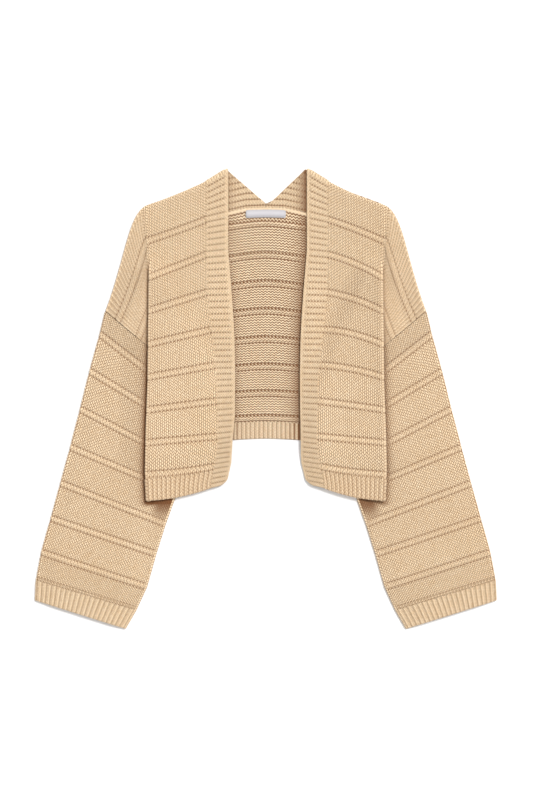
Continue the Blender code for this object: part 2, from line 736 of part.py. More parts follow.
def shown_on_sleeve(station, out, up):
    top = ramp(station, 2.5, 3.0)
    under_front = (1.0 - ramp(out, APEX_OUT, APEX_OUT + 8.0)) * ramp(up, -160.0, -150.0)
    return top * (1.0 - under_front)


def make_sleeve(side, material):
    name = "sleeve_left" if side < 0 else "sleeve_right"
    stations = TURN_IN + ACROSS + TURN_OUT + BACK_ACROSS
    places = [entry[0] for entry in SLEEVE[1:8]]
    rows = row_lines(SLEEVE_START, SLEEVE_CUFF - SLEEVE_START, places, SLEEVE_RIDGE_HALF, 1.0)
    rows = sorted(set(rows) | set(HIDDEN_ROWS))
    rise = ridge_rise(places, SLEEVE_RIDGE_HALF, RIDGE_RISE, shown_on_sleeve)
    cloth(name, stations, rows, mirrored(sleeve_place, side, False), sleeve_wall, rise, material)


def make_cuff(side, material):
    name = "cuff_left" if side < 0 else "cuff_right"
    span = CUFF_SPAN
    stations = TURN_IN + ACROSS[::2] + [1.83] + TURN_OUT + rib_stations(3.0, 4.0, span, RIB_PITCH)
    rows = [SLEEVE_CUFF, (SLEEVE_CUFF + SLEEVE_END) / 2, SLEEVE_END]
    rise = rib_rise(3.0, 4.0, span, RIB_PITCH, lambda station, out, up: 1.0)
    cloth(name, stations, rows, mirrored(sleeve_place, side, False), sleeve_wall, rise, material)


def make_label(material):
    width, tall, thick = LABEL_SIZE
    middle = WALL + SEAM_GAP + thick / 2
    bpy.ops.mesh.primitive_cube_add(size=1.0, location=(0.0, LABEL_UP * MM, middle * MM))
    label = bpy.context.object
    label.name = "neck_label"
    label.scale = (width * MM, tall * MM, thick * MM)
    bpy.ops.object.transform_apply(location=True, rotation=False, scale=True)
    label.data.materials.append(material)
    for home in list(label.users_collection):
        home.objects.unlink(label)
    garment.objects.link(label)


# The garment, one object a piece
for leftover in list(bpy.data.objects):
    bpy.data.objects.remove(leftover)
garment = bpy.data.collections.new("cardigan")
bpy.context.scene.collection.children.link(garment)
knit = finish("knit", (0.72, 0.56, 0.36), 0.9)
woven = finish("woven_label", (0.78, 0.76, 0.76), 0.5)
make_back(knit)
make_back_hem(knit)
make_label(woven)
for half in (-1, 1):
    make_front(half, knit)
    make_front_hem(half, knit)
    make_band(half, knit)
    make_neck_band(half, knit)
    make_sleeve(half, knit)
    make_cuff(half, knit)
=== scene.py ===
import math

import bmesh
import bpy
import numpy as np
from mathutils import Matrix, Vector


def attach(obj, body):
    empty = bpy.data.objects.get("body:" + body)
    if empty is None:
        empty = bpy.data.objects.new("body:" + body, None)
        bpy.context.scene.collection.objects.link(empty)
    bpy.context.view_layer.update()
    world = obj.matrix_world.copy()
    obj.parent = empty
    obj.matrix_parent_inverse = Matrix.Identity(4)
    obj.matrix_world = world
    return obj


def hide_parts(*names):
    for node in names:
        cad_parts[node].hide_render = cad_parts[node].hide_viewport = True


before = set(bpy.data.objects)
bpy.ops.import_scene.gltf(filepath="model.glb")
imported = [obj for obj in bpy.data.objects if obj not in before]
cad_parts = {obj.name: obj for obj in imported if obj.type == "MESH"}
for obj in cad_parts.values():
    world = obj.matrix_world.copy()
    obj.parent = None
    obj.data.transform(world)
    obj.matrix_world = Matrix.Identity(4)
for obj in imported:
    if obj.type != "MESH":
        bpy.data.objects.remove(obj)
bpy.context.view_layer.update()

# An open-front cropped cardigan in a ridged knit, laid flat. Shapes are worked out in millimetres.
# "out" is the distance from the centre line, "up" the place towards the neck, both seen from above.

cloth = {
    "wall": 2.6, "pressedWall": 1.5, "layerGap": 1, "tuckAir": 0.7, "seamGap": 0.3, "edgeGap": 0.8,
    "plainRise": 1,  # how far the outer face lies from the middle before the stitches rise from it
    "lowest": 0.02,  # the underside lies at least this high
    "wale": 5.4, "course": 4.5, "insideCourse": 3.8,  # one knit stitch, across and along
    "waleSteps": 5,  # how many faces make up one stitch across
    "overlap": 0.3,  # sewn pieces run into each other by this much
    "roll": [2, 1.6, 1.2, 0.8, 0.4], "rollCourse": 4, "rollFade": 7, "rollRise": 0.6,  # past a top row
    "softEdge": 0.45, "softEnd": 0.4, "softRim": 0.5,  # how much of its rise is left at an edge
    "waves": 7, "waveSize": (38, 95), "waveRise": 0.5,
}

fold = {
    "apexOut": 175.3, "apexUp": 215.3, "underarmOut": 88.2, "underarmUp": 5.3,
    "armholeOut": 240.9, "armholeUp": 130.5, "radius": 2, "start": 6, "full": 38, "leastTurn": 1.1,
    "tuckAngle": 25, "tuckLean": 22.5, "tuckClimb": 2.2, "climbOver": 120, "middleLeast": 1.2,
    "cutAbove": 3,  # the underarm is cut this far above the panel's row there
    "line": {"at": [-155, -110, -46, 26, 115, 215, 300],
             "out": [177.7, 179.9, 178.4, 175.8, 174.9, 173.8, 174.4]},
}

stack = {  # where the layers lie pressed, and where they lift off each other
    "past": 3, "pressedFrom": 168, "pressedTo": 115, "pressedBelow": -150, "pressedFade": 25,
    "tuckFade": (2, 46), "rampIn": 40, "sleeveAir": 3, "airRim": (3, 34), "airFold": (-12, 22),
    "edgeLift": 3.2, "liftOut": 95, "liftOver": 35, "liftUp": 250, "liftAlong": 150, "liftLeast": 0.4,
    "puff": 3, "puffOver": 12,
}

outline = {
    "at": [-345.4, -302.3, -260.3, -206.3, -152.3, -98.3, 9.8, 117.8,
           171.8, 219.8, 255.8, 273.8, 282.8, 289, 345],
    "outer": [347, 346.2, 343.8, 330.2, 314, 301.1, 272.4, 244.7,
              225.8, 212.3, 203.7, 195.3, 187.5, 176.3, 120],
    "inner": [209.5, 187, 170.4, 154.9, 140.4, 60] + [0] * 9,
}

opening = {
    "at": [-134.3, -124, -100, -64, -28, 35, 88, 118, 163, 218, 268.5, 323.1, 345.8],
    "edge": [61.5, 59.3, 54.2, 52.2, 49, 48.5, 49.4, 50.9, 54] + [58.9] * 4,
    "boundary": [84.5, 84, 79.2, 74.9, 74.9, 77.2, 82.1, 85.5, 90.4] + [90.7] * 4,
    "rise": [6, 5, 4, 3, 2, 1, 0.2, 0.2, 0.8, 3, 7, 19.5, 19.5],
    "peakOut": 58.9, "corner": 9, "sideShift": 2.5, "shiftFade": (60, 150),
    "rightFoot": 3.5, "footBelow": -20, "footOver": 70, "footFade": (52, 84),
}

front = {
    "at": [-134.3, -103, -56.7, -3.8, 36.8, 49.7, 103.2, 159.2, 216, 245.8, 268.5, 323.1],
    "foldUp": [-153, -114.9, -65.9, -16.8, 21, 32.3, 81.5, 131.7, 181.7, 215.3, 238, 289],
    "bow": [4, 2] + [0] * 7 + [0.5, 1, 2],
    "rightBow": [4, 2, 0, -0.5, -3, -3.5, -4.5, -3.5, -4, -3, -1.5, 2],
    "seam": [197.7] * 5 + [187, 142.5, 99, 64.5, 36, 24, 3],
    "startHandle": [0.6] * 5 + [2, 10, 20, 14, 6, 4, 29],
    "endHandle": [0.6] * 5 + [2, 10, 20, 14, 50, 72, 86],
    "endAngle": [55] * 6 + [58, 61, 65, 65, 65, 69],
    "ridges": [-101.5, -56.7, -3.8, 49.7, 103.2, 159.2, 216, 268.5],
    "underarm": 36.8, "levels": (6, 5, 4), "lean": 0, "ribTop": -107.6, "hem": -134.3, "wales": 17,
    "hidden": ((2, 6, 0.4), (3, 5, 0.6), (4, 5, 1), (5, 88, 23)),  # station, steps and wales past the fold
    "inner": ((1, 8), (2, 4), (4, 4), (5, 8)),  # station and steps on the inner face
}

back = {
    "at": [-58.5, -32.3, 9.8, 39, 50.3, 91.5, 134.3, 176.3, 219, 243, 266.3, 286.8],
    "foldUp": [-71, -45, -6, 21, 31, 69, 108, 147, 188, 215.3, 238, 289],
    "bow": [0] * 12,
    "seam": [197.7] * 4 + [188, 153, 120, 89, 60, 36, 24, 3],
    "startHandle": [0.6] * 4 + [2, 8, 14, 20, 14, 6, 4, 28],
    "endHandle": [0.6] * 4 + [2, 8, 14, 20, 14, 50, 72, 86],
    "endAngle": [55] * 5 + [57, 60, 62, 65, 65, 65, 69],
    "ridges": [-27.5, 9.8, 50.3, 91.5, 134.3, 176.3, 219, 266.3],
    "underarm": 39, "levels": (1, 2, 3), "lean": 23, "ribTop": -33.5, "hem": -58.5,
    "hemDrop": 12.5, "hemRamp": 48, "bend": 22, "wales": 28, "seen": 96,
    "hidden": ((2, 5, 1), (3, 3, 10), (4, 4, 11), (5, 16, 31)),
    "inner": ((1, 16), (2, 5), (3, 2), (4, 4), (5, 16)),
    "top": {"at": [0, 30, 55, 63, 84, 90.7, 120, 175.3],
            "up": [286.8, 285.6, 280, 278, 315, 323.1, 309, 289]},
}

sleeve = {
    "at": [0, 1, 2, 3, 4, 5, 6, 7, 8, 9],
    "outerOut": [240.9, 249, 264.4, 278.6, 293.4, 308.1, 322.5, 336.8, 344.7, 346.2],
    "outerUp": [130.5, 96.8, 41.3, -15.8, -72.8, -126.8, -179.3, -230.3, -272.3, -302.3],
    "innerOut": [91.7, 98.7, 107.7, 119.7, 132, 149.4, 163.6, 177.5, 193.5, 209.5],
    "innerUp": [8.2, -18.8, -53.3, -98.3, -140.3, -188.3, -233.3, -282.8, -317.5, -345.4],
    "ridges": [1, 2, 3, 4, 5, 6, 7], "cuff": 8, "end": 9,
}

neckBand = {
    "outer": 83.5, "seam": -0.2, "dipUp": 289.3, "peakUp": 342.6, "dipShift": 3, "shoulderOut": 90.7,
    "rollInside": 4,
}

join = np.concatenate


def unit(value):
    return np.clip(value, 0, 1)


def smooth(value):
    value = unit(value)
    return value * value * (3 - 2 * value)


def ramp(value, start, end):
    return smooth((value - start) / (end - start))


def bell(value, width, power=2):
    return np.exp(-((value / width) ** power))


def cosine(turns):
    return np.cos(2 * math.pi * turns)


def read(table, name, value):  # a column of a table, read at a value of its first column
    return np.interp(value, table["at"], table[name])


def foldOut(up):
    return read(fold["line"], "out", up)


def neckLine(out):  # the top edge of the back
    return read(back["top"], "up", out)


def foldTurn(up):  # from 0 above the apex to a half turn
    below = fold["apexUp"] + fold["start"] - up
    return math.pi * ramp(below, 0, fold["start"] + fold["full"])


def foldShare(up):
    return (1 - np.cos(foldTurn(up))) / 2


def backCover(out, up):  # 1 over the back, falling to 0 past its hem
    hem = back["hem"] - back["hemDrop"] * (out / fold["apexOut"]) ** 2 - stack["past"]
    return 1 - ramp(hem - up, 0, back["hemRamp"])


def stackInner(up):
    slant = (fold["apexOut"] - fold["underarmOut"]) / (fold["apexUp"] - fold["underarmUp"])
    reach = fold["apexOut"] - slant * (fold["apexUp"] - up)
    return np.clip(reach, fold["underarmOut"], fold["apexOut"]) - stack["past"]


def hiddenWall(out, up):
    thin = ramp(stack["pressedFrom"] - out, 0, stack["pressedFrom"] - stack["pressedTo"]) * foldShare(up)
    thin = thin * ramp(up, stack["pressedBelow"] - stack["pressedFade"], stack["pressedBelow"])
    return cloth["wall"] + (cloth["pressedWall"] - cloth["wall"]) * thin


def sleeveAir(out, up):
    outer = read(outline, "outer", up) - out
    inner = out - read(outline, "inner", up)
    clear = ramp(outer, *stack["airRim"]) * ramp(inner, *stack["airRim"])
    return stack["sleeveAir"] * clear * ramp(out - foldOut(up), *stack["airFold"])


def layerHeight(level, out, up):  # the middle of the cloth, level 1 lying on the table and 6 on top
    share, cover, wall = foldShare(up), backCover(out, up), hiddenWall(out, up)
    full, gap = cloth["wall"], cloth["layerGap"]
    step = wall + gap
    if level == 1:
        return full / 2 + out * 0
    if level == 2:
        return full / 2 + (full / 2 + gap + wall / 2) * share
    tucked = 1 - ramp(out - foldOut(up), *stack["tuckFade"])
    third = wall / 2 + cover * share * tucked * (full + gap + step)
    if level == 3:
        return third
    fourth = third + step + sleeveAir(out, up)
    if level == 4:
        return fourth
    if level == 5:
        return fourth + share * (step + cloth["tuckAir"])
    inner = ramp(out, stackInner(up) - stack["rampIn"], stackInner(up))
    lower = ramp(stack["liftUp"] - up, 0, stack["liftAlong"])
    lift = stack["edgeLift"] * ramp(stack["liftOut"] - out, 0, stack["liftOver"])
    lift = lift * (stack["liftLeast"] + (1 - stack["liftLeast"]) * lower)
    low = full / 2 + cover * (full + gap + lift) + sleeveAir(out, up)
    puff = stack["puff"] * bell(out - foldOut(up), stack["puffOver"])
    high = fourth + step + cloth["tuckAir"] + wall / 2 + gap + full / 2 + puff
    return low + (high - low) * inner * share


def bezier(points, part):
    blend = ((1 - part) ** 3, 3 * part * (1 - part) ** 2, 3 * part**2 * (1 - part), part**3)
    return [sum(weight * point[axis][:, :1] for weight, point in zip(blend, points)) for axis in (0, 1)]


def evenlyAlong(points, part):  # places on a Bezier curve, evenly spaced along each row
    steps = np.linspace(0, 1, 33)
    x, y = bezier(points, steps)
    length = np.cumsum(np.hypot(np.diff(x, axis=1), np.diff(y, axis=1)), axis=1)
    length = join([np.zeros((len(x), 1)), length / length[:, -1:]], axis=1)
    places = [np.interp(wanted, reached, steps) for wanted, reached in zip(part, length)]
    return bezier(points, np.stack(places))


def bodyPlace(panel, station, row, startOut, startUp):
    # station 0-1 panel, 1-2 first crease, 2-3 tucked layer, 3-4 second crease, 4-5 towards the armhole
    endUp = read(panel, "foldUp", row)
    bow = read(panel, "bow", row)
    creaseOut = foldOut(endUp) - fold["radius"]
    slope = np.arctan2(startUp - endUp, creaseOut - startOut)
    part = unit(station)
    out = startOut + (creaseOut - startOut) * part
    up = startUp + (endUp - startUp) * part - bow * 4 * part * (1 - part)
    slope = slope + math.radians(panel["lean"]) * ramp(row, panel["at"][-2], panel["at"][-1])
    turn = np.maximum(foldTurn(endUp), 0.001)
    share = turn / math.pi
    arc = fold["radius"] * np.maximum(turn, fold["leastTurn"])
    bend = turn / arc
    first = unit(station - 1)
    out = out + np.cos(slope) * np.sin(turn * first) / bend
    up = up - np.sin(slope) * arc * first

    underarmUp = read(panel, "foldUp", panel["underarm"])
    below = endUp <= underarmUp
    slant = (fold["apexUp"] - endUp) * math.tan(math.radians(fold["tuckAngle"])) - 2 * fold["radius"]
    straight = (creaseOut - fold["underarmOut"] - 2) / np.cos(slope)
    middle = np.clip(np.where(below, straight, np.minimum(slant, straight)), fold["middleLeast"], None)
    tucked = unit(station - 2)
    out = out + np.cos(slope) * np.cos(turn) * middle * tucked
    climb = fold["tuckClimb"] * ramp(underarmUp - endUp, 0, fold["climbOver"])
    up = up - np.sin(slope) * middle * tucked * (1 - climb)

    second = unit(station - 3)
    lean = math.radians(fold["tuckLean"]) * share
    slope2 = slope + lean
    across = np.cos(slope2) * (np.sin(turn) - np.sin(turn * (1 - second))) / bend
    along = -np.sin(slope2) * arc * second
    stepOut = across * np.cos(lean) + along * np.sin(lean)
    stepUp = along * np.cos(lean) - across * np.sin(lean)
    edgeRadius = (layerHeight(5, out, up) - layerHeight(2, out, up)) / 2 - cloth["edgeGap"] / 2
    edgeTurn = second * math.pi / 2 * backCover(out, up)
    edgeRun = edgeRadius * np.sin(edgeTurn) + fold["middleLeast"] * second
    out = out + np.where(below, -edgeRun, stepOut)
    up = up + np.where(below, 0, stepUp)

    if np.any(station > 4):
        atFold = station[:, :1] * 0 + 4
        creaseEnd = bodyPlace(panel, atFold, row[:, :1], startOut[:, :1], startUp[:, :1])
        length = math.hypot(fold["armholeOut"] - fold["underarmOut"], fold["armholeUp"] - fold["underarmUp"])
        seam = read(panel, "seam", row) / length
        seamOut = fold["armholeOut"] + (fold["underarmOut"] - fold["armholeOut"]) * seam
        seamUp = fold["armholeUp"] + (fold["underarmUp"] - fold["armholeUp"]) * seam
        heading = slope2 + lean
        start = read(panel, "startHandle", row)
        last = read(panel, "endHandle", row)
        angle = np.radians(read(panel, "endAngle", row))
        points = ((creaseEnd[0], creaseEnd[1]),
                  (creaseEnd[0] + start * np.cos(heading), creaseEnd[1] - start * np.sin(heading)),
                  (seamOut - last * np.cos(angle), seamUp + last * np.sin(angle)), (seamOut, seamUp))
        armOut, armUp = evenlyAlong(points, unit(station - 4))
        out = np.where(station > 4, armOut, out)
        up = np.where(station > 4, armUp, up)

    top, between, far = (layerHeight(level, out, up) for level in panel["levels"])
    arcDrop = (1 - np.cos(turn)) / bend
    share1 = arcDrop / (2 * arcDrop + middle * np.sin(turn) + 1e-6)
    share2 = 1 - share1
    reach = np.where(np.abs(top - far) > 0.01, top - far, 0.01)
    levelShare = unit((top - between) / reach)
    flat = ramp(turn, 2, math.pi)
    share1, share2 = share1 + (levelShare - share1) * flat, share2 + (levelShare - share2) * flat
    whole = np.maximum(1 - np.cos(turn), 1e-6)
    into = np.where(turn > 0.05, (1 - np.cos(turn * first)) / whole, first**2)
    outOf = np.where(turn > 0.05, (1 - np.cos(turn * (1 - second))) / whole, (1 - second) ** 2)
    drop = np.where(station <= 2, share1 * into, share1 + (share2 - share1) * tucked)
    drop = np.where(station > 3, 1 - (1 - share2) * outOf, drop)
    z = top - (top - far) * drop
    edge = between + np.sign(between - top) * edgeRadius * (1 - np.cos(edgeTurn))
    z = np.where(below & (station > 3), edge, z)
    return out, up, z


def frontPlace(panel):
    def placed(station, row):
        start = read(opening, "boundary", row) - cloth["overlap"] / 2
        return bodyPlace(panel, np.clip(station, 0, 5), row, start, row)
    return placed


def backPlace(station, row):
    station = np.clip(np.abs(station), 0, 5)
    out, up, z = bodyPlace(back, station, row, row * 0, row)
    top, foldTop, apex = back["at"][-1], back["foldUp"][-1], fold["apexOut"]
    onPanel = station <= 1
    share = ramp(row, back["at"][-2], top)
    reach = np.clip(out, 0, apex)
    slope = (read(back, "foldUp", row) - row) / (apex - fold["radius"])
    bend = back["bend"]
    up = up + slope * bend * np.exp(-reach / bend) * onPanel * (1 - share)
    lift = neckLine(reach) - (top + (foldTop - top) * reach / apex)
    return out, up + np.where(onPanel, lift * share, 0), z


def bandPlace(station, row):
    station = unit(station)
    edge = read(opening, "edge", row)
    boundary = read(opening, "boundary", row) + cloth["overlap"] / 2
    out = edge + (boundary - edge) * station
    reach = opening["corner"]
    right = unit(1 - (out - edge) / reach)
    down = unit(1 - (row - front["hem"]) / reach)
    out = out + reach * right * (1 - np.sqrt(1 - down**2 / 2))
    up = row + read(opening, "rise", row) * (1 - station)
    up = up + reach * down * (1 - np.sqrt(1 - right**2 / 2))
    return out, up, layerHeight(6, out, up)


def neckPlace(side):
    peak, shoulder, end = neckBand["peakUp"], front["at"][-1], neckBand["shoulderOut"]
    places = [-end, -opening["peakOut"], neckBand["dipShift"], opening["peakOut"], end]

    def placed(station, across):
        station = unit(station)
        out = cloth["seamGap"] / 2 + (neckBand["outer"] - cloth["seamGap"] / 2) * station
        low = neckLine(out) + neckBand["seam"]
        high = np.interp(side * out, places, [shoulder, peak, neckBand["dipUp"], peak, shoulder])
        return out, low + (high - low) * across, layerHeight(1, out, low)
    return placed


def sleevePlace(station, along):
    # station 0-1 inner edge, 1-2 under layer, 2-3 outer edge, 3-4 upper layer
    outerOut, outerUp, innerOut, innerUp = (
        read(sleeve, name, along) for name in ("outerOut", "outerUp", "innerOut", "innerUp"))
    width = np.hypot(innerOut - outerOut, innerUp - outerUp)
    aimOut, aimUp = (innerOut - outerOut) / width, (innerUp - outerUp) / width
    radius = fold["radius"]
    near, far = radius + cloth["wall"] / 2, width - radius - cloth["wall"] / 2
    parts = [unit(station - k) for k in range(4)]
    reach = far + radius * np.sin(math.pi * parts[0]) - (far - near) * parts[1]
    reach = reach - radius * np.sin(math.pi * parts[2]) + (far - near) * parts[3]
    out, up = outerOut + aimOut * reach, outerUp + aimUp * reach
    over = (1 + np.cos(math.pi * (parts[0] - parts[2]))) / 2
    low, high = layerHeight(3, out, up), layerHeight(4, out, up)
    return out, up, low + (high - low) * over


def rolledEdge(place, top, span, downwards, startOut=None):
    # past its top row, the cloth turns a quarter turn towards the other panel
    def rolled(station, row):
        past = unit((row - top) / span)
        row = np.minimum(row, top)
        out, up, z = place(station, row)
        if not np.any(past > 0):
            return out, up, z
        ahead, behind = place(station + 0.02, row), place(station - 0.02, row)
        runOut, runUp = ahead[0] - behind[0], ahead[1] - behind[1]
        run = np.hypot(runOut, runUp) + 1e-9
        radius = (layerHeight(4, out, up) - layerHeight(3, out, up)) / 2 - cloth["edgeGap"] / 2
        turn = past if startOut is None else past * ramp(out, startOut, startOut + cloth["rollFade"])
        angle = turn * math.pi / 2
        z = z + (-1 if downwards else 1) * radius * (1 - np.cos(angle))
        sideways = radius * np.sin(angle)
        up = up + runOut / run * sideways + cloth["rollRise"] * past
        return out - runUp / run * sideways, up, z
    return rolled


def mirrored(place, side, shifted=True):
    def placed(station, row):
        out, up, z = place(station, row)
        if shifted:
            shift = opening["sideShift"] * side * (1 - ramp(out, *opening["shiftFade"])) * (station < 1.1)
            low = ramp(opening["footBelow"] - up, 0, opening["footOver"])
            foot = opening["rightFoot"] * (side > 0) * low * (1 - ramp(out, *opening["footFade"]))
            out = out + shift - foot
        return side * out, up, z
    return placed


def twoSided(place):
    def placed(station, row):
        out, up, z = place(station, row)
        return np.where(station < 0, -out, out), up, z
    return placed


# Stitches, as heights in millimetres. u counts wales across and v counts courses along.

stitch = {"leg": 0.78, "legPower": 0.7, "loop": 0.9, "purlBend": 0.24}


def plainStitch(u, v):  # columns of V stitches
    x = np.abs((u % 1) - 0.5) * 2
    leg = 1 - stitch["leg"] * (2 * x - 1) ** 2
    q = (v - 0.5 * x + 0.5 * ((u % 1) > 0.5)) % 1
    loop = 1 - stitch["loop"] + stitch["loop"] * (1 - (2 * q - 1) ** 2)
    return leg ** stitch["legPower"] * loop


def purlStitch(u, v):  # rows of small interlocked bumps
    return 0.5 + 0.5 * cosine(v + stitch["purlBend"] * cosine(u))


def addObject(name, data):
    thing = bpy.data.objects.new(name, data)
    bpy.context.scene.collection.objects.link(thing)
    return thing


def meshOf(name, sheet):
    mesh = bpy.data.meshes.new(name)
    sheet.to_mesh(mesh)
    sheet.free()
    return mesh


def dress(name, mesh, material, node):  # the finished piece, which stands for its node
    mesh.shade_smooth()
    mesh.materials.append(material)
    piece = addObject(name, mesh)
    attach(piece, "root")
    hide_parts(node)
    return piece


def clothSurface(place, columns, rows):
    # the middle of the cloth, its normal, and the millimetres between rows one apart
    station, row = np.meshgrid(columns["station"], rows["row"])
    small, reach = 0.004, (rows["row"][len(rows["row"]) // 2] - rows["row"][0]) * 0.0004
    along = np.stack(place(station + small, row)) - np.stack(place(station - small, row))
    over = np.stack(place(station, row + reach)) - np.stack(place(station, row - reach))
    normal = np.cross(along, over, axis=0)
    size = np.linalg.norm(normal, axis=0) + 1e-12
    normal /= size
    normal *= np.sign(np.sum(normal[2][:, columns["facing"]]))
    spacing = size / (np.linalg.norm(along, axis=0) + 1e-9) / abs(2 * reach)
    return np.stack(place(station, row)), normal, spacing


def gridMesh(name, points, cut, last):
    # a grid on these points, without the columns in cut from row last on, and its column and row numbers
    across, down = points.shape[2] - 1, points.shape[1] - 1
    sheet = bmesh.new()
    bmesh.ops.create_grid(sheet, x_segments=across, y_segments=down, size=0.5)
    gone = []
    for face in sheet.faces if np.any(cut) else ():
        column = min(round((vertex.co.x + 0.5) * across) for vertex in face.verts)
        if cut[column] and min(round((vertex.co.y + 0.5) * down) for vertex in face.verts) >= last:
            gone.append(face)
    bmesh.ops.delete(sheet, geom=gone, context="FACES")
    mesh = meshOf(name, sheet)
    spots = np.empty(len(mesh.vertices) * 3)
    mesh.vertices.foreach_get("co", spots)
    spots = spots.reshape(-1, 3)
    i = np.rint((spots[:, 0] + 0.5) * across).astype(int)
    j = np.rint((spots[:, 1] + 0.5) * down).astype(int)
    mesh.vertices.foreach_set("co", (points[:, j, i].T * 0.001).ravel())
    return mesh, i, j


def closeSheet(mesh):  # joins the rims, turns the faces outwards and counts the open edges
    sheet = bmesh.new()
    sheet.from_mesh(mesh)
    bmesh.ops.remove_doubles(sheet, verts=list(sheet.verts), dist=2e-6)
    bmesh.ops.recalc_face_normals(sheet, faces=list(sheet.faces))
    if sheet.calc_volume(signed=True) < 0:
        bmesh.ops.reverse_faces(sheet, faces=list(sheet.faces))
    sheet.to_mesh(mesh)
    edges = sum(1 for edge in sheet.edges if edge.is_boundary)
    sheet.free()
    return edges


def knitPiece(name, material, columns, rows, place, relief, underarm=None, courseOf=None):
    # columns: station, face (1 outer, -1 inner), wale, ease, facing (where the outer face lies upwards) and
    # inner (the nearest column of the inner face). rows: row, course, ease and, on a turned-in rim, face.
    # Cloth with an inner face is closed at both ends.
    closed = "inner" in columns
    if closed:
        rows = {key: join([value[:1], value, value[-1:]]) for key, value in rows.items()}
    station, row = np.meshgrid(columns["station"], rows["row"])
    face = columns["face"] * rows.get("face", np.ones(len(rows["row"])))[:, None]
    ease = columns["ease"] * rows["ease"][:, None]
    middle, normal, spacing = clothSurface(place, columns, rows)
    wale = np.broadcast_to(columns["wale"], station.shape)
    course = np.broadcast_to(rows["course"][:, None], station.shape)
    if courseOf is not None:
        course = courseOf(middle)
    height, paintedShade, even = relief(station, row, wale, course, middle, spacing)
    points = middle + normal * (face * cloth["plainRise"] * ease + np.where(face > 0, height * ease, 0))
    points[2] = np.maximum(points[2], cloth["lowest"])
    onArm, last = np.abs(columns["station"]) >= 4, None
    if underarm is not None:
        last = np.flatnonzero(rows["row"] >= underarm)[-1]
    if closed:
        pinched = np.zeros(station.shape, bool)
        pinched[[0, -1]] = True
        if underarm is not None:
            pinched[last, onArm] = True
            pinched[last:, np.abs(columns["station"]) == 4] = True
        points = np.where(pinched, points[:, :, columns["inner"]], points)
    cut = onArm[:-1] & onArm[1:] & (underarm is not None)
    mesh, i, j = gridMesh(name, points, cut, last)
    # the first attribute darkens the colour as painted shade in grooves, creases and beside folds and bands;
    # the second lifts the painted shade between stitches
    for key, value in (("paintedShade", paintedShade), ("even", even)):
        value = np.broadcast_to(np.where(face > 0, value, 0), station.shape)[j, i]
        mesh.attributes.new(key, "FLOAT", "POINT").data.foreach_set("value", value.astype(np.float32))
    corner = np.empty(len(mesh.loops), int)
    mesh.loops.foreach_get("vertex_index", corner)
    stitches = np.stack([wale[j, i][corner], course[j, i][corner]], 1)
    mesh.uv_layers.new(name="knit").data.foreach_set("uv", stitches.ravel().astype(np.float32))
    edges = closeSheet(mesh)
    print(f"{name}: {len(mesh.polygons)} faces, {edges} open edges")
    return dress(name + "_knit", mesh, material, name)


def stations(*stretches, first=0):  # values over several stretches: (end, steps)
    values = np.array([first])
    for end, steps in stretches:
        values = np.append(values, np.linspace(values[-1], end, steps + 1)[1:])
    return values


def spread(*shown, hidden=(), first=0):
    # stations and wales by stretches of (end, steps, wale at its end), the hidden wales counted from the fold
    stretches = shown + tuple((end, steps, shown[-1][2] + past) for end, steps, past in hidden)
    return (stations(*((end, steps) for end, steps, wale in stretches)),
            stations(*((wale, steps) for end, steps, wale in stretches), first=first))


def loopColumns(shown, inner, soft=(True, True), bothSides=False):
    # round the cloth: the outer face, an edge, the inner face and the first edge again
    halves = (*shown, stations(*inner))
    if bothSides:
        halves = (join([-half[:0:-1], half]) for half in halves)
    outer, wale, inner = halves
    station = join([outer, inner[::-1], outer[:1]])
    inside = np.interp(inner[::-1], outer, wale)
    face = join([np.ones(len(outer)), -np.ones(len(inner)), [1]])
    ease = np.ones(len(station))
    if soft[0]:
        ease[[0, -1, len(outer) + len(inner) - 1]] = cloth["softEdge"]
    if soft[1]:
        ease[[len(outer) - 1, len(outer)]] = cloth["softEdge"]
    facing = np.abs(outer) < 0.5 if bothSides else outer < 0.3
    facing = join([facing, np.zeros(len(inner) + 1, bool)])
    nearest = len(outer) + np.abs(station[:, None] - inner[::-1]).argmin(1)
    return {"station": station, "wale": join([wale, inside, wale[:1]]), "face": face, "ease": ease,
            "facing": facing, "inner": nearest}


def courseRows(top, bottom, courseSize, perCourse=4, ridges=(), end=1):
    # rows from top to bottom, with whole courses between the ridges
    marks = sorted({top, bottom} | {ridge for ridge in ridges if bottom < ridge < top}, reverse=True)
    row, course = np.array([top]), np.array([0])
    for first, last in zip(marks, marks[1:]):
        courses = max(1, round((first - last) / courseSize))
        steps = courses * perCourse
        row = np.append(row, np.linspace(first, last, steps + 1)[1:])
        course = np.append(course, np.linspace(course[-1], course[-1] + courses, steps + 1)[1:])
    ease = np.ones(len(row))
    ease[-1] = end
    return {"row": row, "course": course, "ease": ease}


def rolledRows(top, rows):  # adds the rows of cloth that turn in past the top row
    roll = np.array(cloth["roll"])
    ease = np.ones(len(roll))
    ease[0] = 0.6
    return {"row": join([top + roll, rows["row"]]), "ease": join([ease, rows["ease"]]),
            "course": join([-roll / cloth["rollCourse"], rows["course"]])}


def waves(middle, seed):  # slow uneven rise and fall of relaxed cloth
    luck = np.random.default_rng(seed)
    total = 0
    for k in range(cloth["waves"]):
        angle, size = luck.uniform(0, math.pi), luck.uniform(*cloth["waveSize"])
        across = (middle[0] * math.cos(angle) + middle[1] * math.sin(angle)) * 2 * math.pi / size
        total = total + np.sin(across + luck.uniform(0, 6.28))
    return (0.5 + total / cloth["waves"]) * cloth["waveRise"]


def nearestRidge(row, ridges):
    distance = row[..., None] - np.array(ridges, float)
    return np.take_along_axis(distance, np.abs(distance).argmin(-1)[..., None], -1)[..., 0]
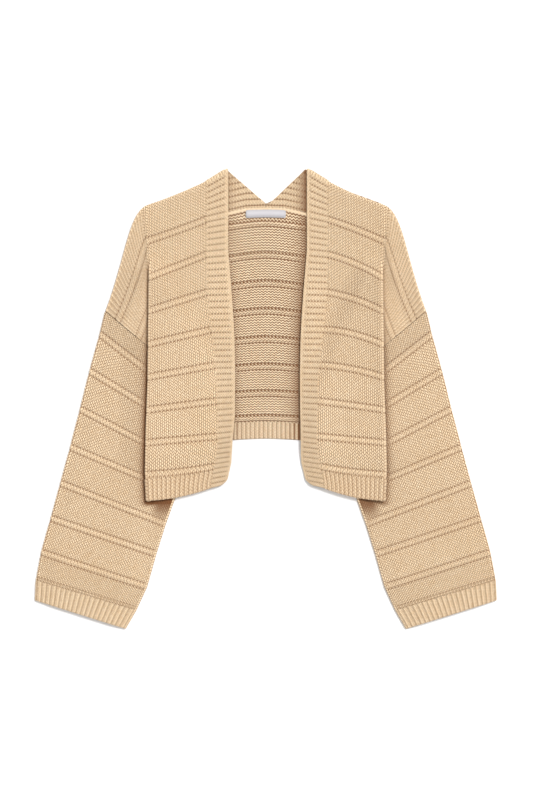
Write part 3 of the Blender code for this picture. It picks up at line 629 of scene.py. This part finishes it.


# the grooves' depth, dots and sides also set their painted shade; pale, paleStrand and paleOver lift the
# painted shade between stitches on the crests, paleDeep is a faint painted shade there, and the last weight
# scales that lift
rope = {
    "half": 4.8, "sides": (1, 1), "crest": 0.7, "rise": 0.75, "strand": 0.6, "slant": 0.13,
    "grooveOver": 1.3, "groove": 1.25, "dots": 0.45, "stitchGap": 4.4, "stitchRise": 1.1,
    "paleOver": 3.4, "pale": 0.24, "paleStrand": 0.4, "paleDeep": 0.08, "shadeWeight": 1,
}


def ropeRelief(side, ridges, shown, shade, seed, look=rope, stitches=plainStitch):
    # plain knit with raised rows of slanted stitches, each between two dotted grooves that are painted dark
    # as shade; on the rope crests the painted shade between stitches is lifted, so they read as lit
    def relief(station, row, u, v, middle, spacing):
        distance = nearestRidge(row, ridges) * spacing
        strand = cosine(u + side * look["slant"] * distance)
        crest = bell(distance, look["crest"] * look["half"], 4) * (look["rise"] + look["strand"] * strand)
        dots = 1 - look["dots"] + look["dots"] * cosine(u + 0.25 * np.sign(distance))
        groove = bell(np.abs(distance) - look["half"], look["grooveOver"]) * dots
        groove = groove * np.where(distance > 0, *look["sides"])
        plain = stitches(u, v) * look["stitchRise"] * (1 - bell(distance, look["stitchGap"], 4))
        near = bell(distance, look["paleOver"], 4)
        visible = shown(station, middle)
        height = plain + crest - groove * look["groove"] + waves(middle, seed)
        paintedShade = np.maximum(groove, look["paleDeep"] * near) * visible
        pale = near * (look["pale"] + look["paleStrand"] * strand) * look["shadeWeight"]
        return height * visible, np.maximum(paintedShade, shade(station, middle)), pale * visible
    return relief


# Materials

# dark is the colour of painted shade; valley and cavity set how far the valleys between stitches and the
# marked grooves, creases and shadows are mixed towards it
yarn = {
    "light": (1, 0.79, 0.54), "base": (0.91, 0.67, 0.415), "dark": (0.21, 0.085, 0.03),
    "insideLight": (1, 0.82, 0.58), "insideBase": (0.94, 0.70, 0.45),
    "strayScale": 190, "stray": (0.3, 0.3, 0),  # how far the stitches wander, as a share of one
    "fibre": 1400, "heather": 260, "patch": 14, "heatherShare": 2.4, "patchShare": 0.7, "less": -1.05,
    "valley": 0.62, "cavity": 0.95, "plies": (3, 5), "plyTurn": 6.283, "plyRise": 0.09, "fibreRise": 0.45,
    "bump": 0.9, "bumpDeep": 0.0012,
    "surface": {"Roughness": 0.88, "Specular IOR Level": 0.22, "Sheen Weight": 0.28, "Sheen Roughness": 0.45,
                "Sheen Tint": (1, 0.9, 0.76, 1)},
}


def newMaterial(name, surface):
    material = bpy.data.materials.new(name)
    material.use_nodes = True
    tree = material.node_tree
    shader = tree.nodes["Principled BSDF"]
    for socket, value in surface.items():
        shader.inputs[socket].default_value = value
    return material, tree, shader


def link(tree, a, b):
    tree.links.new(a, b)


def mathNode(tree, operation, a, b=None, c=None, clamp=False):
    node = tree.nodes.new("ShaderNodeMath")
    node.operation, node.use_clamp = operation, clamp
    for slot, value in zip(node.inputs, (a, b, c)):
        if value is None:
            continue
        if isinstance(value, (int, float)):
            slot.default_value = value
        else:
            link(tree, value, slot)
    return node.outputs[0]


def times(tree, a, b, plus=0, clamp=False):
    return mathNode(tree, "MULTIPLY_ADD", a, b, plus, clamp)


def cosineNode(tree, turns):
    return mathNode(tree, "COSINE", times(tree, turns, 2 * math.pi))


def noiseNode(tree, place, scale, detail, rough=0.6, output="Fac"):
    node = tree.nodes.new("ShaderNodeTexNoise")
    node.inputs["Scale"].default_value = scale
    node.inputs["Detail"].default_value = detail
    node.inputs["Roughness"].default_value = rough
    link(tree, place, node.inputs["Vector"])
    return node.outputs[output]


def mixColour(tree, share, first, second):
    node = tree.nodes.new("ShaderNodeMix")
    node.data_type = "RGBA"
    link(tree, share, node.inputs["Factor"])
    for slot, value in ((node.inputs["A"], first), (node.inputs["B"], second)):
        if isinstance(value, tuple):
            slot.default_value = (*value, 1)
        else:
            link(tree, value, slot)
    return node.outputs["Result"]


def bumpNode(tree, shader, height, strength, distance):
    bump = tree.nodes.new("ShaderNodeBump")
    bump.inputs["Strength"].default_value = strength
    bump.inputs["Distance"].default_value = distance
    link(tree, height, bump.inputs["Height"])
    link(tree, bump.outputs["Normal"], shader.inputs["Normal"])


def stitchNodes(tree, kind, u, v):  # the same stitches as in the shapes, between 0 and 1
    if kind == "purl":
        bent = times(tree, cosineNode(tree, u), stitch["purlBend"], v)
        return times(tree, cosineNode(tree, bent), 0.5, 0.5)
    part = mathNode(tree, "FRACT", u)
    x = mathNode(tree, "ABSOLUTE", mathNode(tree, "SUBTRACT", part, 0.5))
    leg = times(tree, x, 4, -1)
    leg = times(tree, times(tree, leg, leg), -stitch["leg"], 1)
    turned = mathNode(tree, "GREATER_THAN", part, 0.5)
    q = mathNode(tree, "SUBTRACT", times(tree, turned, 0.5, v), x)
    q = times(tree, mathNode(tree, "FRACT", q), 2, -1)
    return times(tree, leg, times(tree, times(tree, q, q), -stitch["loop"], 1))


# contrast sets how strongly the painted shade in the valleys between stitches shows
def yarnMaterial(name, kind, contrast, light="light", base="base"):
    material, tree, shader = newMaterial(name, yarn["surface"])
    place = tree.nodes.new("ShaderNodeTexCoord").outputs["Object"]
    knit = tree.nodes.new("ShaderNodeUVMap")
    knit.uv_map = "knit"
    uneven = tree.nodes.new("ShaderNodeVectorMath")
    uneven.operation = "MULTIPLY_ADD"
    link(tree, noiseNode(tree, place, yarn["strayScale"], 1, 0.5, "Color"), uneven.inputs[0])
    uneven.inputs[1].default_value = yarn["stray"]
    link(tree, knit.outputs["UV"], uneven.inputs[2])
    split = tree.nodes.new("ShaderNodeSeparateXYZ")
    link(tree, uneven.outputs[0], split.inputs[0])
    u, v = split.outputs["X"], split.outputs["Y"]
    # painted shade: an attribute from the shapes that darkens grooves, creases and the cloth beside folds and
    # bands
    paintedShade = tree.nodes.new("ShaderNodeAttribute")
    paintedShade.attribute_name = "paintedShade"
    even = tree.nodes.new("ShaderNodeAttribute")
    even.attribute_name = "even"
    fibre = noiseNode(tree, place, yarn["fibre"], 4, 0.7)
    heather = noiseNode(tree, place, yarn["heather"], 2)
    patch = times(tree, noiseNode(tree, place, yarn["patch"], 2), yarn["patchShare"], yarn["less"])
    share = times(tree, heather, yarn["heatherShare"], patch, clamp=True)
    colour = mixColour(tree, share, yarn[base], yarn[light])
    # painted shade: the colour darkens towards the shade colour in the valleys between stitches, less where
    # the cloth is marked even
    raised = mathNode(tree, "MAXIMUM", stitchNodes(tree, kind, u, v), even.outputs["Fac"])
    valley = times(tree, raised, -contrast, contrast * yarn["valley"], clamp=True)
    colour = mixColour(tree, valley, colour, yarn["dark"])
    cavity = times(tree, paintedShade.outputs["Fac"], yarn["cavity"], clamp=True)
    link(tree, mixColour(tree, cavity, colour, yarn["dark"]), shader.inputs["Base Color"])
    ply = times(tree, times(tree, v, yarn["plies"][1], times(tree, u, yarn["plies"][0])), yarn["plyTurn"])
    ply = times(tree, mathNode(tree, "SINE", ply), yarn["plyRise"])
    height = mathNode(tree, "ADD", times(tree, fibre, yarn["fibreRise"], raised), ply)
    bumpNode(tree, shader, height, yarn["bump"], yarn["bumpDeep"])
    return material


plainYarn = yarnMaterial("plain_knit_yarn", "plain", 2)
ribYarn = yarnMaterial("rib_knit_yarn", "plain", 1.3)
garterYarn = yarnMaterial("garter_knit_yarn", "plain", 1.45)
insideYarn = yarnMaterial("purl_side_yarn", "purl", 2.05, "insideLight", "insideBase")
insideRibYarn = yarnMaterial("rib_inside_yarn", "plain", 0.9, "insideLight", "insideBase")

sides = {-1: "left", 1: "right"}

# Front panels

frontKnit = {
    "creaseFlat": 0.8, "armFlat": 0.4, "topFlat": 0.6, "topFade": 5,  # how much lower the stitches lie
    # armLine and creaseDeep are painted shade between the wales and along the crease; armEven and creaseEven
    # lift the painted shade between stitches there
    "armLine": 0.5, "armLineRise": 0.3, "creaseDeep": 0.2, "armEven": 0.45, "creaseEven": 0.35,
}

foldShade = {
    "hemUp": -156, "lowFrom": 120, "lowOver": 100, "near": 0.75, "nearOver": 4.5, "lowNearOver": 2.5,
    "far": 0.18, "lowFar": 0.3, "farOver": 12, "end": 8, "right": 0.6,
    "under": 0.95, "underIn": 20, "underOver": 22,
}


def frontShown(station, middle):
    away = np.abs(middle[0]) - foldOut(middle[1])
    arm = ramp(away, -4, 5) * ramp(station, 3, 3.6)
    return 1 - ramp(station, 1.4, 2) * (1 - np.maximum(arm, 1 - foldShare(middle[1])))


def foldShadow(middle):  # the cloth darkens where it runs under the side fold
    look, up = foldShade, middle[1]
    away = np.abs(middle[0]) - foldOut(up)
    beyond, below = np.clip(away, 0, None), np.clip(look["hemUp"] - up, 0, None)
    lower = ramp(look["lowFrom"] - up, 0, look["lowOver"])
    beside = look["near"] * bell(beyond, look["nearOver"] + look["lowNearOver"] * lower)
    beside = beside + (look["far"] + look["lowFar"] * lower) * np.exp(-beyond / look["farOver"])
    beside = beside * (1 - ramp(below, 0, look["end"])) * np.where(middle[0] < 0, 1, look["right"])
    under = look["under"] * ramp(-away, 0, look["underIn"]) * bell(below, look["underOver"])
    return np.maximum(beside, under) * foldShare(up)


def armShadow(station, middle):
    return foldShadow(middle) * (station > 3.5)


def makeFront(side):
    panel, look = dict(front, bow=front["bow" if side < 0 else "rightBow"]), frontKnit
    top, wales = panel["at"][-1], panel["wales"]
    shown = spread((1, wales * cloth["waleSteps"], wales), hidden=panel["hidden"])
    columns = loopColumns(shown, panel["inner"], (False, True))
    rows = courseRows(top, panel["ribTop"] - cloth["overlap"] / 2, cloth["course"], ridges=panel["ridges"])
    place = mirrored(rolledEdge(frontPlace(panel), top, cloth["roll"][0], True), side)
    plain = ropeRelief(side, panel["ridges"], frontShown, armShadow, 3 + side)

    def relief(station, row, u, v, middle, spacing):  # beyond the fold, the stretched cloth shows its wales, with painted shade in the lines between them and along the crease
        height, paintedShade, even = plain(station, row, u, v, middle, spacing)
        crease = ramp(station, 0.95, 1) * (1 - ramp(station, 1.8, 2)) * foldShare(middle[1])
        arm = ramp(station, 4, 4.1)
        lines = (0.5 + 0.5 * cosine(u)) ** 2 * arm
        height = height * (1 - look["creaseFlat"] * crease) * (1 - look["armFlat"] * arm)
        height = height * (1 - look["topFlat"] * ramp(row, top - look["topFade"], top))
        paintedShade = np.maximum(paintedShade, np.maximum(look["armLine"] * lines, look["creaseDeep"] * crease))
        even = np.maximum(even, np.maximum(look["armEven"] * arm, look["creaseEven"] * crease))
        return height - look["armLineRise"] * lines, paintedShade, even

    name, rows = f"front_{sides[side]}", rolledRows(top, rows)
    return knitPiece(name, plainYarn, columns, rows, place, relief, panel["underarm"] + fold["cutAbove"])


pieces = {"front": [makeFront(side) for side in sides]}

# Back panel, whose inside shows

backKnit = {
    "rope": dict(rope, half=4.4, sides=(1.7, 1.3), stitchRise=1, shadeWeight=0.6), "shownTo": (88, 98),
    # seamDeep and lineDeep are painted shade on the seam and on the line below it; seamEven lifts the painted
    # shade between stitches on the seam
    "seamBelow": 2.6, "seamOver": 2.6, "seamRise": 1.3, "seamDeep": 0.16, "seamEven": 0.75,
    "lineBelow": 6.6, "lineOver": 1.5, "lineDeep": 0.55,
}

bandShade = {"shift": 1, "right": (0.75, 11, 1.3), "left": (0.45, 7, 1.2)}  # depth, reach and power


def backShown(station, middle):
    return 1 - ramp(np.abs(middle[0]), *backKnit["shownTo"])


def bandShadow(middle):  # the inside darkens beside the bands, more under the right one
    edge, across = read(opening, "edge", middle[1]), middle[0] - bandShade["shift"]
    shades = []
    for side, name in sides.items():
        depth, reach, power = bandShade[name]
        shades.append(depth * bell(np.clip(edge - side * across, 0, None), reach, power))
    return np.maximum(*shades)


def insideShadow(station, middle):
    return bandShadow(middle) * backShown(station, middle)


def makeBack():
    panel, look, top = back, backKnit, back["at"][-1]
    wales = round(panel["seen"] / cloth["wale"])
    seen = panel["seen"] / (fold["apexOut"] - fold["radius"])
    shown = ((seen, wales * cloth["waleSteps"], wales), (1, 10, panel["wales"]))
    shown = spread(*shown, hidden=panel["hidden"])
    columns = loopColumns(shown, panel["inner"], bothSides=True)
    rows = courseRows(top, panel["ribTop"] - cloth["overlap"] / 2, cloth["insideCourse"], 3, panel["ridges"])
    place = twoSided(rolledEdge(backPlace, top, cloth["roll"][0], False, panel["top"]["at"][4]))
    plain = ropeRelief(1, panel["ridges"], backShown, insideShadow, 8, look["rope"], purlStitch)

    def relief(station, row, u, v, middle, spacing):  # the seam of the neck band runs along the top edge; the raised seam carries only a faint painted shade, and a line below it is painted dark as shade
        height, paintedShade, even = plain(station, row, u, v, middle, spacing)
        below, visible = neckLine(np.abs(middle[0])) - middle[1], backShown(station, middle)
        seam = bell(below - look["seamBelow"], look["seamOver"], 4) * visible
        line = bell(below - look["lineBelow"], look["lineOver"]) * visible
        height = height * (1 - seam) + look["seamRise"] * seam
        paintedShade = np.maximum(paintedShade * (1 - seam) + look["seamDeep"] * seam, look["lineDeep"] * line)
        return height, paintedShade, np.maximum(even, look["seamEven"] * seam)

    rows = rolledRows(top, rows)
    return knitPiece("back", insideYarn, columns, rows, place, relief, panel["underarm"] + fold["cutAbove"])


pieces["back"] = [makeBack()]

# Sleeves and cuffs

sleeveKnit = {
    "wales": 31, "under": 26, "coursesPerRidge": 12, "stepsPerStitch": 4, "shownFrom": (2.2, 3),
    "coverFade": (-2, 5), "coverDown": (-158, -146), "shadeFrom": (2.6, 3),
    # purlDeep and purlDots set the painted shade in the grooves of the purl row above the cuff
    "purlRows": ((5.4, 1.2), (1, 1)), "purlDeep": 0.42, "purlDots": 0.4, "purlDrop": 0.9,
}

rib = {
    "pitch": 6.4, "steps": 8, "rise": 0.8, "crest": 0.8, "stitch": 0.3, "seed": 5,
    # this line sets the painted shade in the rib valleys and beside the bands, and how far the painted shade
    # between stitches is lifted on the rib crests
    "paintedShade": 0.16, "valley": 0.48, "shade": 1.2, "even": 0.4, "evenLess": 0.15,
}

cuff = {"span": 125, "under": 30, "rows": 24, "turnRows": 4, "turnedIn": 0.12, "courses": 13}


def upperShown(station, middle):
    return ramp(station, *sleeveKnit["shownFrom"])


def sleeveShown(station, middle):
    covered = 1 - ramp(np.abs(middle[0]) - foldOut(middle[1]), *sleeveKnit["coverFade"])
    return upperShown(station, middle) * (1 - covered * ramp(middle[1], *sleeveKnit["coverDown"]))


def sleeveShadow(station, middle):
    return foldShadow(middle) * ramp(station, *sleeveKnit["shadeFrom"])


def tubeColumns(upper, wales, under):
    outer, wale = spread((1, 8, -under - 1), (2, under, -1), (3, 8, 0), (4, upper, wales), first=-under - 2)
    return {"station": outer, "wale": wale, "face": np.ones(len(outer)), "ease": np.ones(len(outer)),
            "facing": outer >= 3.2}


def makeSleeve(side):
    look = sleeveKnit
    columns = tubeColumns(look["wales"] * look["stepsPerStitch"], look["wales"], look["under"])
    steps = sleeve["cuff"] * look["coursesPerRidge"] * look["stepsPerStitch"]
    along = np.linspace(0, sleeve["cuff"], steps + 1)
    rows = {"row": along, "course": along * look["coursesPerRidge"], "ease": np.ones(len(along))}
    plain = ropeRelief(side, sleeve["ridges"], sleeveShown, sleeveShadow, 20 + side)

    def relief(station, row, u, v, middle, spacing):  # a narrow row of purl stitches lies above the cuff, its grooves painted dark as shade
        height, paintedShade, even = plain(station, row, u, v, middle, spacing)
        above = (sleeve["cuff"] - row) * spacing
        line = sum(bell(above - place, over) for place, over in look["purlRows"])
        line = line * (look["purlDeep"] + look["purlDots"] * cosine(u)) * sleeveShown(station, middle)
        return height - look["purlDrop"] * line, np.maximum(paintedShade, line), even

    place = mirrored(sleevePlace, side, False)
    return knitPiece(f"sleeve_{sides[side]}", plainYarn, columns, rows, place, relief)


def ribRelief(first, shown, shadeWeight, shade=None):
    def relief(station, row, u, v, middle, spacing):
        crest = unit(0.5 - 0.5 * cosine(u - first)) ** rib["crest"]
        # painted shade: a weighted base, more in the valleys between ribs, and any painted shadow passed in
        paintedShade = rib["paintedShade"] * shadeWeight + rib["valley"] * (1 - crest) ** 3
        if shade is not None:
            paintedShade = paintedShade + shade(middle) * (rib["shade"] - crest)
        height = crest * rib["rise"] + plainStitch(u, v) * rib["stitch"] + waves(middle, rib["seed"])
        visible = shown(station, middle)
        return height * visible, paintedShade * visible, (rib["even"] - rib["evenLess"] * shadeWeight) * crest * visible
    return relief


def makeCuff(side):
    ribs, start, end = round(cuff["span"] / rib["pitch"]), sleeve["cuff"], sleeve["end"]
    columns = tubeColumns(ribs * rib["steps"], ribs, cuff["under"])
    count = cuff["rows"] + 1
    turned = np.linspace(end, end - cuff["turnedIn"], cuff["turnRows"] + 1)
    row = join([np.linspace(start, end, count), turned])
    rows = {"row": row, "course": (row - start) * cuff["courses"], "ease": np.ones(len(row)),
            "face": np.where(np.arange(len(row)) < count, 1, -1)}
    rows["ease"][[count - 1, count]] = cloth["softRim"]
    place = mirrored(sleevePlace, side, False)
    return knitPiece(f"cuff_{sides[side]}", ribYarn, columns, rows, place, ribRelief(0, upperShown, 0))


pieces["sleeve"] = [makeSleeve(side) for side in sides]
pieces["cuff"] = [makeCuff(side) for side in sides]

# Hems

# each hem's weight sets how strong the painted shade in its ribs is
frontHem = {
    "from": 84, "hidden": ((2, 6, 1), (3, 8, 2), (4, 4, 3)), "inner": ((1, 8), (3, 8), (4, 2)),
    "shadeWeight": 1, "shownTo": (1.3, 2),
}

backHem = {
    "seen": 84, "ribs": 22, "hidden": ((2, 5, 1), (3, 4, 10), (4, 4, 11)),
    "inner": ((1, 12), (2, 5), (3, 4), (4, 2)), "shadeWeight": 1.2, "shownTo": (76, 90),
}


def frontHemShown(station, middle):
    return 1 - ramp(station, *frontHem["shownTo"])


def backHemShown(station, middle):
    return 1 - ramp(np.abs(middle[0]), *backHem["shownTo"])


def hemRows(panel):
    top = panel["ribTop"] + cloth["overlap"] / 2
    return courseRows(top, panel["hem"], cloth["course"], end=cloth["softEnd"])


def makeFrontHem(side):
    ribs = round((fold["apexOut"] - frontHem["from"]) / rib["pitch"])
    shown = spread((1, ribs * rib["steps"], ribs), hidden=frontHem["hidden"])
    columns = loopColumns(shown, frontHem["inner"])
    place, relief = mirrored(frontPlace(front), side), ribRelief(0, frontHemShown, frontHem["shadeWeight"])
    return knitPiece(f"hem_front_{sides[side]}", ribYarn, columns, hemRows(front), place, relief)


def makeBackHem():
    ribs = round(backHem["seen"] / rib["pitch"])
    seen = backHem["seen"] / (fold["apexOut"] - fold["radius"])
    shown = spread((seen, ribs * rib["steps"], ribs), (1, 8, backHem["ribs"]), hidden=backHem["hidden"])
    columns = loopColumns(shown, backHem["inner"], bothSides=True)
    relief = ribRelief(0.5, backHemShown, backHem["shadeWeight"], bandShadow)
    return knitPiece("hem_back", insideRibYarn, columns, hemRows(back), twoSided(backPlace), relief)


pieces["hem_front"] = [makeFrontHem(side) for side in sides]
pieces["hem_back"] = [makeBackHem()]

# Front bands and neck band

garter = {
    # the grooves' depth, width and dots also set their painted shade; even lifts the painted shade between
    # stitches a little
    "linesPerRidge": 6, "rise": 0.9, "stitch": 0.3, "even": 0.2, "groove": 0.9, "grooveOver": 0.26,
    "dots": 0.4, "steps": 4, "bandWales": 8, "bandRows": 420, "topFade": 6,
    "chain": 0.1, "chainFade": 0.06, "chainRise": 0.5, "chainDeep": 0.1, "chainEven": 0.4,  # along the edge, with a faint painted shade and the painted shade between stitches lifted
    "neckWales": 20, "neckRows": ((1, 32), (2, 5)), "neckPitch": 9.3, "neckShift": 0.15,
    # neckGroove and neckShade scale the painted shade in the neck band's grooves and the painted shadow
    # beside the bands
    "neckGroove": 1.3, "neckShade": 1.2,
}


def garterRelief(line, u, seed, middle):  # pale rows of stitches between dotted grooves, which are painted dark as shade
    gap = np.abs((line % 1) - 0.5) * 2
    groove = bell(gap, garter["grooveOver"]) * (1 - garter["dots"] + garter["dots"] * cosine(u))
    rise = garter["rise"] * (1 - (1 - gap) ** 3) + garter["stitch"] * plainStitch(u, line * 2)
    return rise - garter["groove"] * groove + waves(middle, seed), groove


def bandLine(row):  # garter lines counted down from the lowest ridge, six to each ridge of the panel
    ridges, count = front["ridges"], garter["linesPerRidge"]
    first, last = ridges[0] - (ridges[1] - ridges[0]), ridges[-1] + (ridges[-1] - ridges[-2])
    return np.interp(row, [first] + ridges + [last], np.arange(-1, len(ridges) + 1) * count)


def makeBand(side):
    top, look, wales = front["at"][-1], garter, garter["bandWales"]
    columns = loopColumns(spread((1, wales * look["steps"], wales)), [(1, 4)], (True, False))
    row = np.linspace(top, front["hem"], look["bandRows"] + 1)
    row = join([top + np.array(cloth["roll"]), row])
    rows = {"row": row, "course": bandLine(row) * 2, "ease": np.ones(len(row))}
    rows["ease"][[0, -1]] = cloth["softRim"]

    def relief(station, row, u, v, middle, spacing):
        rise, groove = garterRelief(v / 2, u, 31 + side, middle)
        body = ramp(station, look["chain"], look["chain"] + look["chainFade"])
        chain = unit(1 - np.abs(station / look["chain"] - 0.5) * 1.6)
        chain = chain * (0.75 + 0.25 * cosine(v))
        groove = groove * body * ramp(top - row, 0, look["topFade"])
        height = rise * body + chain * look["chainRise"] * (1 - body)
        # painted shade in the grooves and a faint one along the chain edge, where the painted shade between
        # stitches is lifted
        even = np.where(body < 0.5, look["chainEven"], look["even"])
        return height, np.maximum(groove, look["chainDeep"] * (1 - body)), even

    place = mirrored(rolledEdge(bandPlace, top, cloth["roll"][0], True), side)
    return knitPiece(f"band_{sides[side]}", garterYarn, columns, rows, place, relief)


def makeNeckBand(side):
    look, wales = garter, garter["neckWales"]
    columns = loopColumns(spread((1, wales * look["steps"], wales)), [(1, 8)])
    across = stations(*look["neckRows"])
    rows = {"row": across, "course": across, "ease": np.ones(len(across))}
    rows["ease"][[0, -1]] = cloth["softRim"]

    def linesAbove(middle):
        return (middle[1] - neckLine(np.abs(middle[0]))) / look["neckPitch"]

    def relief(station, row, u, v, middle, spacing):
        height, groove = garterRelief(linesAbove(middle) + look["neckShift"], u, 41, middle)
        # painted shade in the grooves, and the painted shadow of the bands
        paintedShade = np.maximum(look["neckGroove"] * groove, bandShadow(middle) * look["neckShade"])
        return height, paintedShade, look["even"]

    startOut = opening["peakOut"] - neckBand["rollInside"]
    place = mirrored(rolledEdge(neckPlace(side), 1, 1, False, startOut), side, False)
    return knitPiece(f"neck_band_{sides[side]}", garterYarn, columns, rows, place, relief,
                     courseOf=lambda middle: linesAbove(middle) * 2)


pieces["band"] = [makeBand(side) for side in sides]
pieces["neck_band"] = [makeNeckBand(side) for side in sides]

# Neck label, left bare

label = {
    "width": 0.060, "tall": 0.0118, "thick": 0.0008, "up": 0.2772, "middle": 0.0045, "corner": 0.0025,
    "cuts": 24, "bow": 0.0009, "ripple": 0.0003, "rippleTurn": 150, "weave": 413.815, "weaveDeep": 0.0001,
    "dark": (0.50, 0.48, 0.50), "pale": (0.61, 0.59, 0.61),
    "surface": {"Roughness": 0.5, "Sheen Weight": 0.2},
}


def makeLabel():
    sheet = bmesh.new()
    bmesh.ops.create_cube(sheet, size=1)
    bmesh.ops.scale(sheet, vec=(label["width"], label["tall"], label["thick"]), verts=sheet.verts)
    bmesh.ops.translate(sheet, vec=(0, label["up"], label["middle"]), verts=sheet.verts)
    upright = [e for e in sheet.edges if abs(e.verts[0].co.z - e.verts[1].co.z) > label["thick"] / 2]
    bmesh.ops.bevel(sheet, geom=upright, offset=label["corner"], segments=5, profile=0.5, affect="EDGES",
                    material=-1)
    lengthwise = [e for e in sheet.edges if e.calc_length() > label["width"] / 2]
    bmesh.ops.subdivide_edges(sheet, edges=lengthwise, cuts=label["cuts"], use_grid_fill=True)
    for vertex in sheet.verts:
        vertex.co.y -= label["bow"] * (vertex.co.x / label["width"] * 2) ** 2
        vertex.co.z += label["ripple"] * math.sin(vertex.co.x * label["rippleTurn"])
    bmesh.ops.recalc_face_normals(sheet, faces=list(sheet.faces))
    material, tree, shader = newMaterial("woven_label_satin", label["surface"])
    wave = tree.nodes.new("ShaderNodeTexWave")
    wave.inputs["Scale"].default_value = label["weave"]
    link(tree, tree.nodes.new("ShaderNodeTexCoord").outputs["Object"], wave.inputs["Vector"])
    colour = mixColour(tree, wave.outputs["Fac"], label["dark"], label["pale"])
    link(tree, colour, shader.inputs["Base Color"])
    bumpNode(tree, shader, wave.outputs["Fac"], 1, label["weaveDeep"])
    mesh = meshOf("neck_label", sheet)
    return dress("neck_label_woven", mesh, material, "neck_label")


pieces["neck_label"] = [makeLabel()]
print("pieces made")
# Floor, lights and camera

studio = {
    "floor": 6, "floorDown": 0.0004, "world": 0.66,
    "floorSurface": {"Base Color": (0.93, 0.93, 0.935, 1), "Roughness": 0.9},
    "key": {"kind": "SUN", "place": (0.65, 0.7, 1.7), "power": 2.46, "spread": {"angle": 0.35}},
    "fill": {"kind": "AREA", "place": (-1.4, -0.6, 1.9), "power": 5, "spread": {"size": 1.8}},
    "distance": 5, "pixel": 0.0015, "pixelsDown": 800, "aside": 0.7, "down": 1.5, "film": 36,
}


def makeStudio():
    sheet = bmesh.new()
    bmesh.ops.create_grid(sheet, x_segments=1, y_segments=1, size=studio["floor"] / 2)
    bmesh.ops.translate(sheet, vec=(0, 0, -studio["floorDown"]), verts=sheet.verts)
    mesh = meshOf("floor", sheet)
    mesh.materials.append(newMaterial("pale_floor", studio["floorSurface"])[0])
    addObject("floor", mesh)
    for name in ("key", "fill"):
        light = studio[name]
        lamp = bpy.data.lights.new(name + "_light", light["kind"])
        lamp.energy = light["power"]
        for key, value in light["spread"].items():
            setattr(lamp, key, value)
        thing = addObject(name + "_light", lamp)
        thing.location = light["place"]
        thing.rotation_euler = (-Vector(light["place"])).to_track_quat("-Z", "Y").to_euler()
    world = bpy.data.worlds.new("studio")
    world.use_nodes = True
    world.node_tree.nodes["Background"].inputs["Color"].default_value = (1, 1, 1, 1)
    world.node_tree.nodes["Background"].inputs["Strength"].default_value = studio["world"]
    bpy.context.scene.world = world
    camera, pixel = bpy.data.cameras.new("camera"), studio["pixel"]
    camera.sensor_width = studio["film"]
    camera.lens = studio["film"] * studio["distance"] / (studio["pixelsDown"] * pixel)
    seen = addObject("camera", camera)
    seen.location = (studio["aside"] * pixel, -studio["down"] * pixel, studio["distance"])
    bpy.context.scene.camera = seen
    bpy.context.scene.view_settings.view_transform = "Standard"


makeStudio()
print("studio made")
